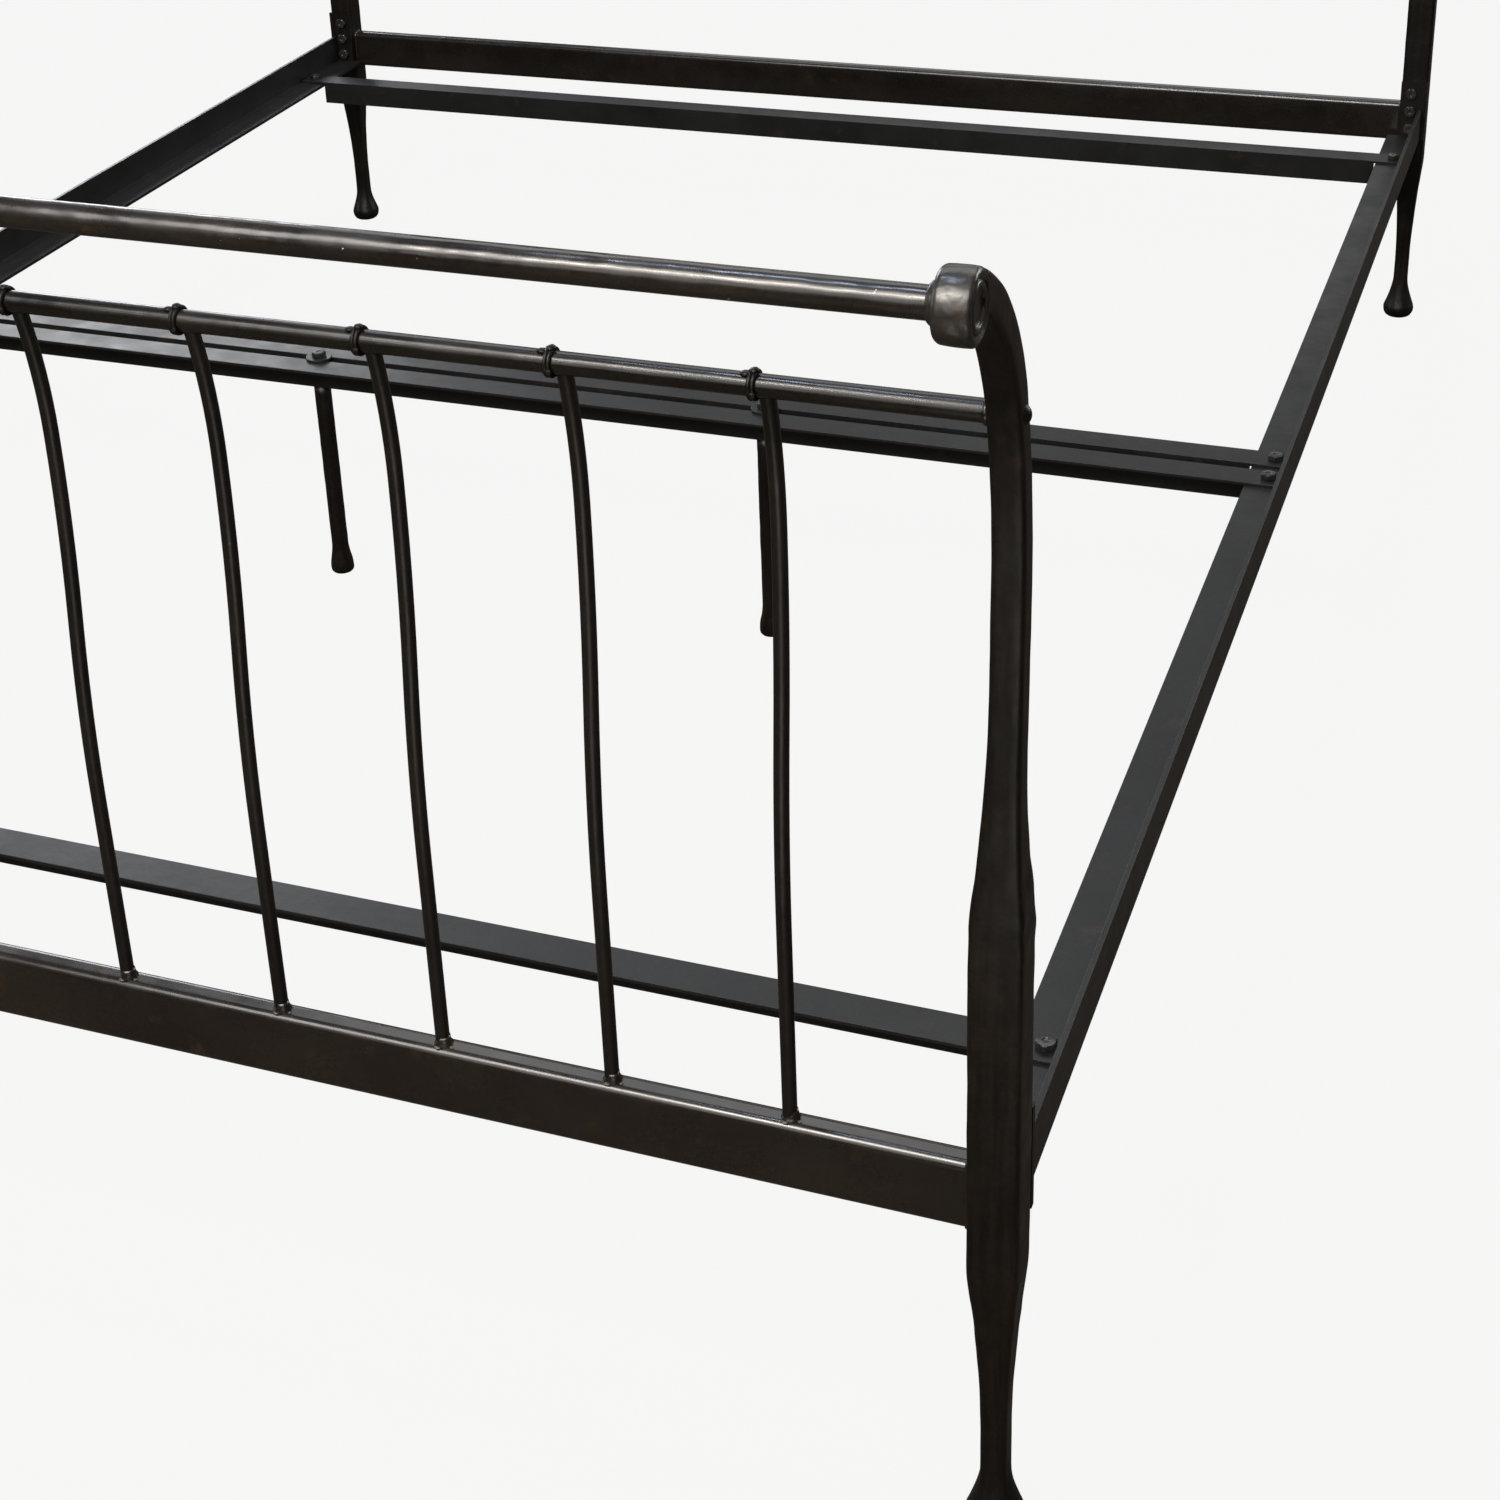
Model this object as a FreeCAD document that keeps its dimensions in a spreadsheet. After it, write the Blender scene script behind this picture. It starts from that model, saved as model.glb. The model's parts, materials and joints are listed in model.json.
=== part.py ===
"""Queen-size iron sleigh bed frame: head board, foot board, angle side rails, slats and centre legs.

Frame: millimetres, +X to the right seen from the foot, +Y towards the head, +Z up.
The origin is on the floor, under the middle of the bed.
"""
import FreeCAD, Part
import math
import os
import Sketcher

Vector = FreeCAD.Vector
Rotation = FreeCAD.Rotation
Placement = FreeCAD.Placement

X_AXIS = Vector(1, 0, 0)
Z_AXIS = Vector(0, 0, 1)
NO_TURN = Rotation()
HALF_TURN = Rotation(Z_AXIS, 180)

doc = FreeCAD.newDocument("sleigh_bed")

# ---------------------------------------------------------------- driving dimensions

SIZES = {
    # overall layout
    "post_spacing": 1528.0,      # between the post axes, across the bed
    "board_spacing": 2090.0,     # between the head and foot post axes, along the bed
    "head_rise": 340.0,          # how much taller the head board is than the foot board
    # posts
    "block_size": 32.0,          # square section beside the side rails
    "bar_size": 19.0,            # slim square bar above it
    "ankle_size": 17.0,          # slim square leg below it
    "block_low": 212.0,
    "block_high": 466.0,
    "ankle_top": 84.0,
    "bar_start": 590.0,
    "post_corner": 3.0,
    "foot_radius": 19.5,
    "foot_flare": 62.0,          # height over which the ankle spreads into the foot
    # the sleigh curve shared by the posts and the spindles
    "curve_start": 430.0,        # height where the foot board leaves the vertical
    "sway": 13.0,                # how far it bows towards the bed
    "sway_rise": 250.0,
    "bend_radius": 330.0,
    "bend_rise": 100.0,
    "curl_radius": 150.0,
    "curl_end": 64.0,            # degrees of lean where the bar meets its eye
    "eye_radius": 19.0,
    "eye_width": 20.0,
    "eye_out": 91.0,             # eye axis, outward of the post axis
    "eye_height": 864.0,
    "eye_rim": 2.0,
    "eye_ring_out": 13.7,
    "eye_ring_in": 9.5,
    "eye_ring_deep": 1.5,
    # board rails
    "top_rail_radius": 8.5,
    "second_rail_radius": 6.5,
    "second_rail_height": 770.0,
    "flat_rail_low": 241.0,
    "flat_rail_tall": 50.0,
    "flat_rail_deep": 18.0,
    "middle_rail_tall": 40.0,
    "middle_rail_deep": 16.0,
    "flat_rail_corner": 6.0,
    "flat_rail_wall": 2.0,
    # spindles
    "spindle_radius": 4.6,
    "spindle_pitch": 115.5,
    "tie_wire_radius": 1.9,
    "tie_offset": 6.6,
    "rivet_radius": 5.5,
    "rivet_height": 3.0,
    # side rails, end plates and their bolts
    "angle_size": 40.0,
    "angle_wall": 4.0,
    "rail_low": 248.0,
    "rail_outer": 775.0,
    "plate_low": 246.0,
    "plate_tall": 76.0,
    "plate_wide": 32.0,
    "plate_thick": 5.0,
    "plate_bolt_low": 262.0,
    "plate_bolt_pitch": 23.0,
    "plate_bolt_out": 761.0,
    "bolt_radius": 3.9,
    "bolt_hole_radius": 4.1,
    "bolt_depth": 18.0,
    "bolt_end_gap": 1.5,
    "bolt_head_flats": 13.0,
    "bolt_head_tall": 5.3,
    "nut_tall": 6.0,
    "nut_bolt_grip": 8.0,        # how far a slat bolt passes below the ledge
    # slats
    "slat_size": 30.0,
    "slat_wall": 3.0,
    "slat_gap": 12.0,
    "foot_slat_from_post": 140.0,
    "head_slat_from_post": 108.0,
    "slat_bolt_in": 20.0,
    "slat_end_gap": 2.0,
    # centre legs
    "leg_out": 252.0,
    "leg_radius": 9.0,
    "leg_foot_radius": 12.5,
    "leg_foot_tall": 26.0,
    "leg_foot_rim": 8.0,
    "leg_foot_edge": 2.5,
    "leg_hole_deep": 30.0,
    "leg_bolt_grip": 25.0,
    "washer_radius": 14.0,
    "washer_thick": 2.5,
}
SPINDLE_COUNT = 12
PLATE_BOLT_COUNT = 3

# how the posts' forged shapes are drawn
TAPER_STEPS = 8
LOWER_TAPER_POWER = 1.7
UPPER_TAPER_POWER = 2.0
BEND_STEPS = 14
CURL_STEPS = 9

sheet = doc.addObject("Spreadsheet::Sheet", "sizes")
for row, (alias, value) in enumerate(SIZES.items(), start=1):
    cell = "A%d" % row
    sheet.set(cell, str(value))
    sheet.setAlias(cell, alias)
doc.recompute()

nodes = []


def size(alias):
    """The number that the sheet holds under this alias."""
    return float(sheet.get(alias))


def bind(owner, prop, formula):
    """Drives a property by a formula in which every sheet alias is written as <alias>."""
    owner.setExpression(prop, formula.replace("<", "sizes.").replace(">", ""))


def node(thing, label):
    """Registers a finished piece under its node name."""
    thing.Label = label
    nodes.append(thing)
    return thing


# ---------------------------------------------------------------- sketch helpers

def new_body(name):
    return doc.addObject("PartDesign::Body", name)


def sketch_on(body, plane, name):
    """A new sketch on one of the body's own origin planes."""
    support = next(item for item in body.Origin.OriginFeatures if item.Role == plane)
    sketch = body.newObject("Sketcher::SketchObject", name)
    sketch.AttachmentSupport = (support, [""])
    sketch.MapMode = "FlatFace"
    return sketch


def constrain(sketch, kind, *arguments, formula=None):
    """Adds a constraint and, if a formula is given, drives its value from the sheet."""
    number = sketch.addConstraint(Sketcher.Constraint(kind, *arguments))
    if formula:
        bind(sketch, "Constraints[%d]" % number, formula)
    return number


def pin(sketch, edge, end, u, v, u_formula, v_formula):
    """Holds one end of an edge at (u, v) measured from the sketch's origin."""
    for kind, value, formula in (("DistanceX", u, u_formula), ("DistanceY", v, v_formula)):
        if value == 0:
            constrain(sketch, kind, -1, 1, edge, end, 0.0)
        else:
            constrain(sketch, kind, -1, 1, edge, end, value, formula=formula)


def polygon(sketch, corners):
    """A closed outline through corners, each given as (u, v, u formula, v formula)."""
    count = len(corners)
    first = sketch.GeometryCount
    for index, (u, v, _, _) in enumerate(corners):
        following = corners[(index + 1) % count]
        line = Part.LineSegment(Vector(u, v, 0), Vector(following[0], following[1], 0))
        sketch.addGeometry(line, False)
    for index in range(count):
        after = (index + 1) % count
        constrain(sketch, "Coincident", first + index, 2, first + after, 1)
    for index, corner in enumerate(corners):
        pin(sketch, first + index, 1, *corner)


def circle(sketch, u, v, radius, u_formula, v_formula, radius_formula):
    edge = sketch.addGeometry(Part.Circle(Vector(u, v, 0), Z_AXIS, radius), False)
    pin(sketch, edge, 3, u, v, u_formula, v_formula)
    constrain(sketch, "Radius", edge, radius, formula=radius_formula)
    return edge


def rounded_box_outline(sketch, wide, tall, corner, wide_formula, tall_formula, corner_formula):
    """A centred rectangle with round corners, as four lines and four tangent arcs."""
    half_u, half_v = wide / 2 - corner, tall / 2 - corner
    first = sketch.GeometryCount
    turns = ((1, 1, 0), (-1, 1, 90), (-1, -1, 180), (1, -1, 270))
    for side_u, side_v, start in turns:
        centre = Part.Circle(Vector(side_u * half_u, side_v * half_v, 0), Z_AXIS, corner)
        arc = Part.ArcOfCircle(centre, math.radians(start), math.radians(start + 90))
        sketch.addGeometry(arc, False)
    for index, (side_u, side_v, start) in enumerate(turns):
        end = sketch.Geometry[first + index].EndPoint
        begin = sketch.Geometry[first + (index + 1) % 4].StartPoint
        line = sketch.addGeometry(Part.LineSegment(end, begin), False)
        constrain(sketch, "Tangent", first + index, 2, line, 1)
        constrain(sketch, "Tangent", line, 2, first + (index + 1) % 4, 1)
    for index in range(1, 4):
        constrain(sketch, "Equal", first, first + index)
    constrain(sketch, "Radius", first, corner, formula=corner_formula)
    reach_u = "(%s) / 2 - %s" % (wide_formula, corner_formula)
    reach_v = "(%s) / 2 - %s" % (tall_formula, corner_formula)
    constrain(sketch, "DistanceX", -1, 1, first, 3, half_u, formula=reach_u)
    constrain(sketch, "DistanceY", -1, 1, first, 3, half_v, formula=reach_v)
    constrain(sketch, "DistanceX", first + 2, 3, -1, 1, half_u, formula=reach_u)
    constrain(sketch, "DistanceY", first + 2, 3, -1, 1, half_v, formula=reach_v)


def feature(body, kind, name, sketch):
    """A sketch-based feature of the body, such as a Pad or a Pocket."""
    made = body.newObject("PartDesign::" + kind, name)
    made.Profile = sketch
    sketch.Visibility = False
    return made


def cut_through(body, name, sketch):
    """Pockets the sketch through everything, to both sides of its plane."""
    pocket = feature(body, "Pocket", name, sketch)
    pocket.Type = "ThroughAll"
    pocket.Midplane = True
    return pocket


# ---------------------------------------------------------------- the sleigh curve

def sway_radius():
    half, rise = size("sway") / 2, size("sway_rise") / 2
    return (half ** 2 + rise ** 2) / (2 * half)


def sleigh_point(travel):
    """Offset towards the bed, height above the curve's start, and lean, at a height or curl angle.

    travel is ("rise", height) on the sway and the bend, and ("curl", lean) on the last arc.
    """
    kind, value = travel
    radius, rise, bend = sway_radius(), size("sway_rise"), size("bend_radius")
    bend_lean = math.asin(size("bend_rise") / bend)
    if kind == "curl":
        curl = size("curl_radius")
        inward = size("sway") - bend * (1 - math.cos(bend_lean))
        inward += curl * (math.cos(value) - math.cos(bend_lean))
        height = rise + size("bend_rise") + curl * (math.sin(value) - math.sin(bend_lean))
        return inward, height, value
    if value <= 0:
        return 0.0, value, 0.0
    if value <= rise / 2:
        lean = math.asin(value / radius)
        return radius * (1 - math.cos(lean)), value, -lean
    if value <= rise:
        lean = math.asin((rise - value) / radius)
        return size("sway") - radius * (1 - math.cos(lean)), value, -lean
    lean = math.asin((value - rise) / bend)
    return size("sway") - bend * (1 - math.cos(lean)), value, lean


# ---------------------------------------------------------------- posts

def square_wire(inward, height, lean, side, corner):
    """A round-cornered square across the bar, at a point of the sleigh curve."""
    across = Vector(1, 0, 0)
    along = Vector(0, math.cos(lean), math.sin(lean))
    centre = Vector(0, inward, height)
    half, flat = side / 2, side / 2 - corner
    diagonal = flat + corner * math.sqrt(0.5)
    edges = []
    for turn in range(4):
        first, second = (across, along) if turn % 2 == 0 else (along, across * -1)
        if turn >= 2:
            first, second = first * -1, second * -1
        start = centre + first * half + second * flat
        middle = centre + (first + second) * diagonal
        end = centre + first * flat + second * half
        edges.append(Part.Arc(start, middle, end).toShape())
        edges.append(Part.LineSegment(end, centre - first * flat + second * half).toShape())
    return Part.Wire(edges)


def post_sections(rise):
    """The bar from the ankle up to the eye, for a board raised by rise."""
    block, bar, ankle = size("block_size"), size("bar_size"), size("ankle_size")
    corner = size("post_corner")
    low, high = size("block_low"), size("block_high")
    ankle_top, bar_start = size("ankle_top"), size("bar_start")
    swell = [(0.0, ankle)]
    for step in range(TAPER_STEPS + 1):
        part = step / TAPER_STEPS
        side = ankle + part ** LOWER_TAPER_POWER * (block - ankle)
        swell.append((ankle_top + part * (low - ankle_top), side))
    for step in range(TAPER_STEPS):
        part = step / TAPER_STEPS
        side = bar + (1 - part) ** UPPER_TAPER_POWER * (block - bar)
        swell.append((high + part * (bar_start - high), side))
    sections = []
    for height, side in swell:
        inward, _, lean = sleigh_point(("rise", height - size("curve_start") - rise))
        sections.append(square_wire(inward, height, lean, side, corner))
    start = size("curve_start") + rise
    climb = bar_start - start
    top = size("sway_rise") + size("bend_rise")
    if climb < 0:
        sections.append(square_wire(0, bar_start, 0, bar, corner))
        climb = 0
    for step in range(BEND_STEPS):
        inward, height, lean = sleigh_point(("rise", climb + (top - climb) * step / BEND_STEPS))
        sections.append(square_wire(inward, start + height, lean, bar, corner))
    first_lean = math.asin(size("bend_rise") / size("bend_radius"))
    last_lean = math.radians(size("curl_end"))
    for step in range(CURL_STEPS + 1):
        angle = first_lean + (last_lean - first_lean) * step / CURL_STEPS
        inward, height, lean = sleigh_point(("curl", angle))
        sections.append(square_wire(inward, start + height, lean, bar, corner))
    return sections


def trumpet_foot():
    """The forged foot: it spreads slowly from the ankle into a rounded pad on the floor."""
    wide, flare = size("foot_radius"), size("foot_flare")
    neck = 0.9 * size("ankle_size") / 2
    floor_radius = 0.75 * wide
    side = Part.BSplineCurve()
    side.interpolate([
        Vector(neck, 0, flare),
        Vector(neck + 0.2 * (wide - neck), 0, 0.7 * flare),
        Vector(neck + 0.5 * (wide - neck), 0, 0.47 * flare),
        Vector(wide, 0, 0.2 * flare),
        Vector(0.97 * wide, 0, 0.1 * flare),
        Vector(floor_radius, 0, 0),
    ])
    outline = Part.Wire([
        Part.LineSegment(Vector(0, 0, 0), Vector(0, 0, flare)).toShape(),
        Part.LineSegment(Vector(0, 0, flare), Vector(neck, 0, flare)).toShape(),
        side.toShape(),
        Part.LineSegment(Vector(floor_radius, 0, 0), Vector(0, 0, 0)).toShape(),
    ])
    return Part.Face(outline).revolve(Vector(0, 0, 0), Z_AXIS, 360)


def post_shape(rise, side):
    """One post in its board's own frame: +Y towards the bed, on the side of the bed that side names."""
    bar = Part.makeLoft(post_sections(rise), True, True)
    whole = bar.fuse(trumpet_foot()).removeSplitter()
    eye_axis = Vector(-50, -size("eye_out"), size("eye_height") + rise)
    eye = Part.makeCylinder(size("eye_radius"), 100, eye_axis, X_AXIS)
    whole = whole.cut(eye)
    bolt_across = side * (size("plate_bolt_out") - size("post_spacing") / 2)
    for index in range(PLATE_BOLT_COUNT):
        height = size("plate_bolt_low") + index * size("plate_bolt_pitch")
        mouth = Vector(bolt_across, size("block_size") / 2 - size("bolt_depth"), height)
        hole = Part.makeCylinder(size("bolt_hole_radius"), size("block_size"), mouth, Vector(0, 1, 0))
        whole = whole.cut(hole)
    return max(whole.Solids, key=lambda solid: solid.Volume)


def board_placement(board, x, height=0.0):
    """Puts a piece drawn with +Y towards the bed at one end of the bed."""
    if board == "foot":
        return Placement(Vector(x, -size("board_spacing") / 2, height), NO_TURN)
    return Placement(Vector(x, size("board_spacing") / 2, height), HALF_TURN)


def make_post(board, label, x_side):
    rise = 0.0 if board == "foot" else size("head_rise")
    side = x_side if board == "foot" else -x_side
    post = doc.addObject("Part::Feature", label)
    post.Shape = post_shape(rise, side)
    post.Placement = board_placement(board, x_side * size("post_spacing") / 2)
    return node(post, label)


def make_eye(board, label, x_side):
    """The disc at the top of a post, with a raised ring on its outer face."""
    body = new_body(label)
    sketch = sketch_on(body, "XY_Plane", label + "_section")
    half, radius = size("eye_width") / 2, size("eye_radius")
    rim, depth = size("eye_rim"), size("eye_ring_deep")
    ring_out, ring_in = size("eye_ring_out"), size("eye_ring_in")
    floor_formula = "<eye_width> / 2 - <eye_ring_deep>"
    polygon(sketch, [
        (-half, 0, "-<eye_width> / 2", None),
        (-half, radius - rim, "-<eye_width> / 2", "<eye_radius> - <eye_rim>"),
        (-half + rim, radius, "-<eye_width> / 2 + <eye_rim>", "<eye_radius>"),
        (half - rim, radius, "<eye_width> / 2 - <eye_rim>", "<eye_radius>"),
        (half, radius - rim, "<eye_width> / 2", "<eye_radius> - <eye_rim>"),
        (half, ring_out, "<eye_width> / 2", "<eye_ring_out>"),
        (half - depth, ring_out, floor_formula, "<eye_ring_out>"),
        (half - depth, ring_in, floor_formula, "<eye_ring_in>"),
        (half, ring_in, "<eye_width> / 2", "<eye_ring_in>"),
        (half, 0, "<eye_width> / 2", None),
    ])
    turned = feature(body, "Revolution", label + "_disc", sketch)
    turned.ReferenceAxis = (sketch, ["H_Axis"])
    turned.Angle = 360
    rise = 0.0 if board == "foot" else size("head_rise")
    out = -1 if board == "foot" else 1
    turn = NO_TURN if x_side > 0 else HALF_TURN
    place = Vector(x_side * size("post_spacing") / 2,
                   out * (size("board_spacing") / 2 + size("eye_out")),
                   size("eye_height") + rise)
    body.Placement = Placement(place, turn)
    return node(body, label)


# ---------------------------------------------------------------- board rails

def make_round_rail(label, radius_alias, end_alias, y, height):
    """A solid round rail along X, between two ends as wide as end_alias says."""
    rail = doc.addObject("Part::Cylinder", label)
    bind(rail, "Radius", "<%s>" % radius_alias)
    bind(rail, "Height", "<post_spacing> - <%s>" % end_alias)
    length = size("post_spacing") - size(end_alias)
    rail.Placement = Placement(Vector(-length / 2, y, height), Rotation(Vector(0, 1, 0), 90))
    return node(rail, label)


def make_flat_rail(label, tall, deep, end_alias, y, middle_height):
    """A flat tube between the posts, with round corners and open ends against the posts."""
    body = new_body(label)
    sketch = sketch_on(body, "YZ_Plane", label + "_section")
    wall, corner = size("flat_rail_wall"), size("flat_rail_corner")
    rounded_box_outline(sketch, size(deep), size(tall), corner,
                        "<%s>" % deep, "<%s>" % tall, "<flat_rail_corner>")
    rounded_box_outline(sketch, size(deep) - 2 * wall, size(tall) - 2 * wall, corner - wall,
                        "<%s> - 2 * <flat_rail_wall>" % deep, "<%s> - 2 * <flat_rail_wall>" % tall,
                        "(<flat_rail_corner> - <flat_rail_wall>)")
    pad = feature(body, "Pad", label + "_tube", sketch)
    pad.Midplane = True
    bind(pad, "Length", "<post_spacing> - <%s>" % end_alias)
    body.Placement = Placement(Vector(0, y, middle_height), NO_TURN)
    return node(body, label)


# ---------------------------------------------------------------- spindles

def spindle_path(body, label):
    """The sleigh curve in the body's YZ plane, from the spindle's foot to the second rail."""
    sketch = sketch_on(body, "YZ_Plane", label + "_path")
    foot = size("flat_rail_low") + size("flat_rail_tall")
    straight = size("curve_start") - foot
    rise, radius, bend = size("sway_rise"), sway_radius(), size("bend_radius")
    sway = size("sway")
    last = size("second_rail_height") - foot
    lean = math.asin(rise / 2 / radius)
    top_lean = math.asin((last - straight - rise) / bend)
    line = Part.LineSegment(Vector(0, 0, 0), Vector(0, straight, 0))
    back = Part.ArcOfCircle(Part.Circle(Vector(radius, straight, 0), Z_AXIS, radius), math.pi - lean, math.pi)
    front = Part.ArcOfCircle(Part.Circle(Vector(sway - radius, straight + rise, 0), Z_AXIS, radius), -lean, 0)
    over = Part.ArcOfCircle(Part.Circle(Vector(sway - bend, straight + rise, 0), Z_AXIS, bend), 0, top_lean)
    for edge in (line, back, front, over):
        sketch.addGeometry(edge, False)
    constrain(sketch, "Coincident", 0, 1, -1, 1)
    constrain(sketch, "Vertical", 0)
    constrain(sketch, "DistanceY", 0, 1, 0, 2, straight,
              formula="<curve_start> - <flat_rail_low> - <flat_rail_tall>")
    constrain(sketch, "Tangent", 0, 2, 1, 2)
    constrain(sketch, "Tangent", 1, 1, 2, 1)
    constrain(sketch, "Tangent", 2, 2, 3, 1)
    whole_radius = "((<sway> / 2)^2 + (<sway_rise> / 2)^2) / <sway>"
    constrain(sketch, "Radius", 1, radius, formula=whole_radius)
    constrain(sketch, "Radius", 2, radius, formula=whole_radius)
    constrain(sketch, "Radius", 3, bend, formula="<bend_radius>")
    constrain(sketch, "DistanceY", 0, 2, 1, 1, rise / 2, formula="<sway_rise> / 2")
    constrain(sketch, "DistanceY", 0, 2, 2, 2, rise, formula="<sway_rise>")
    constrain(sketch, "DistanceY", -1, 1, 3, 2, last,
              formula="<second_rail_height> - <flat_rail_low> - <flat_rail_tall>")
    return sketch


def make_spindle(board, label, x):
    """A round bar bent to the sleigh curve and coped to the second rail."""
    body = new_body(label)
    path = spindle_path(body, label)
    ring = sketch_on(body, "XY_Plane", label + "_section")
    circle(ring, 0, 0, size("spindle_radius"), None, None, "<spindle_radius>")
    pipe = feature(body, "AdditivePipe", label + "_bar", ring)
    pipe.Spine = path
    path.Visibility = False
    foot = size("flat_rail_low") + size("flat_rail_tall")
    cope = sketch_on(body, "YZ_Plane", label + "_cope")
    inward, _, _ = sleigh_point(("rise", size("second_rail_height") - size("curve_start")))
    circle(cope, inward, size("second_rail_height") - foot, size("second_rail_radius"),
           None, "<second_rail_height> - <flat_rail_low> - <flat_rail_tall>", "<second_rail_radius>")
    cut_through(body, label + "_fit", cope)
    rise = 0.0 if board == "foot" else size("head_rise")
    body.Placement = board_placement(board, x, foot + rise)
    return node(body, label)


def spindle_positions():
    """X of each spindle, evenly spaced about the middle of the bed."""
    pitch = size("spindle_pitch")
    return [(index - (SPINDLE_COUNT - 1) / 2) * pitch for index in range(SPINDLE_COUNT)]


def group(label, members):
    """Several equal small pieces that share one node, each still a solid of its own."""
    bundle = doc.addObject("Part::Compound", label)
    bundle.Links = members
    return node(bundle, label)


def make_ties(label, y, height):
    """A wire tie round the second rail beside the top of each spindle."""
    rings = []
    for index, x in enumerate(spindle_positions(), start=1):
        ring = doc.addObject("Part::Torus", "%s_%02d" % (label, index))
        bind(ring, "Radius1", "<second_rail_radius> + <tie_wire_radius>")
        bind(ring, "Radius2", "<tie_wire_radius>")
        ring.Placement = Placement(Vector(x - size("tie_offset"), y, height), Rotation(Vector(0, 1, 0), 90))
        rings.append(ring)
    return group(label, rings)


def make_rivets(label, y, height):
    """The domed rivet heads on the posts' outer faces, in line with the second rail."""
    heads = []
    for x_side in (-1, 1):
        head = doc.addObject("Part::Sphere", "%s_%s" % (label, "left" if x_side < 0 else "right"))
        base, tall = size("rivet_radius"), size("rivet_height")
        ball = (base ** 2 + tall ** 2) / (2 * tall)
        bind(head, "Radius", "(<rivet_radius>^2 + <rivet_height>^2) / (2 * <rivet_height>)")
        bind(head, "Angle1", "asin((<rivet_radius>^2 - <rivet_height>^2) / "
                             "(<rivet_radius>^2 + <rivet_height>^2))")
        head.Angle2 = 90
        face = x_side * (size("post_spacing") / 2 + size("bar_size") / 2)
        centre = Vector(face - x_side * (ball - tall), y, height)
        head.Placement = Placement(centre, Rotation(Vector(0, 1, 0), 90 * x_side))
        heads.append(head)
    return group(label, heads)


# ---------------------------------------------------------------- side rails and end plates

def make_plate(label, x_side, y_side):
    """The end plate that carries a side rail's end on the bed side of a post."""
    body = new_body(label)
    sketch = sketch_on(body, "XZ_Plane", label + "_outline")
    half, tall = size("plate_wide") / 2, size("plate_tall")
    polygon(sketch, [
        (-half, 0, "-<plate_wide> / 2", None),
        (half, 0, "<plate_wide> / 2", None),
        (half, tall, "<plate_wide> / 2", "<plate_tall>"),
        (-half, tall, "-<plate_wide> / 2", "<plate_tall>"),
    ])
    across = x_side * (size("plate_bolt_out") - size("post_spacing") / 2)
    sign = "" if x_side > 0 else "-"
    for index in range(PLATE_BOLT_COUNT):
        height = size("plate_bolt_low") - size("plate_low") + index * size("plate_bolt_pitch")
        circle(sketch, across, height, size("bolt_hole_radius"),
               sign + "(<plate_bolt_out> - <post_spacing> / 2)",
               "<plate_bolt_low> - <plate_low> + %d * <plate_bolt_pitch>" % index, "<bolt_hole_radius>")
    pad = feature(body, "Pad", label + "_plate", sketch)
    pad.Midplane = True
    bind(pad, "Length", "<plate_thick>")
    off = size("board_spacing") / 2 - size("block_size") / 2 - size("plate_thick") / 2
    place = Vector(x_side * size("post_spacing") / 2, y_side * off, size("plate_low"))
    body.Placement = Placement(place, NO_TURN)
    return node(body, label)


def slat_rows():
    """Each slat: name, Y of its middle line with the formula for it, and its hanging leg's side."""
    end, half, gap = size("board_spacing") / 2, size("slat_size") / 2, size("slat_gap") / 2
    return [
        ("foot_slat", -end + size("foot_slat_from_post") + half,
         "-<board_spacing> / 2 + <foot_slat_from_post> + <slat_size> / 2", 1),
        ("middle_slat_front", -gap - half, "-<slat_gap> / 2 - <slat_size> / 2", 1),
        ("middle_slat_rear", gap + half, "<slat_gap> / 2 + <slat_size> / 2", -1),
        ("head_slat", end - size("head_slat_from_post") - half,
         "<board_spacing> / 2 - <head_slat_from_post> - <slat_size> / 2", -1),
    ]


def bolt_x():
    """How far out from the middle the slat bolts stand."""
    return size("rail_outer") - size("slat_bolt_in")


def make_side_rail(label, x_side):
    """An angle bar: the upright leg outside, the ledge for the slats turned in."""
    body = new_body(label)
    sketch = sketch_on(body, "XZ_Plane", label + "_section")
    leg, wall = size("angle_size"), size("angle_wall")
    polygon(sketch, [
        (0, 0, None, None),
        (0, leg, None, "<angle_size>"),
        (-wall, leg, "-<angle_wall>", "<angle_size>"),
        (-wall, wall, "-<angle_wall>", "<angle_wall>"),
        (-leg, wall, "-<angle_size>", "<angle_wall>"),
        (-leg, 0, "-<angle_size>", None),
    ])
    pad = feature(body, "Pad", label + "_bar", sketch)
    pad.Midplane = True
    bind(pad, "Length", "<board_spacing> - <block_size> - 2 * <plate_thick>")
    holes = sketch_on(body, "XY_Plane", label + "_holes")
    sign = "" if x_side > 0 else "-"
    for _, middle, middle_formula, _ in slat_rows():
        circle(holes, -size("slat_bolt_in"), x_side * middle, size("bolt_hole_radius"),
               "-<slat_bolt_in>", "%s(%s)" % (sign, middle_formula), "<bolt_hole_radius>")
    cut_through(body, label + "_bolt_holes", holes)
    turn = NO_TURN if x_side > 0 else HALF_TURN
    body.Placement = Placement(Vector(x_side * size("rail_outer"), 0, size("rail_low")), turn)
    return node(body, label)


# ---------------------------------------------------------------- slats

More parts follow.
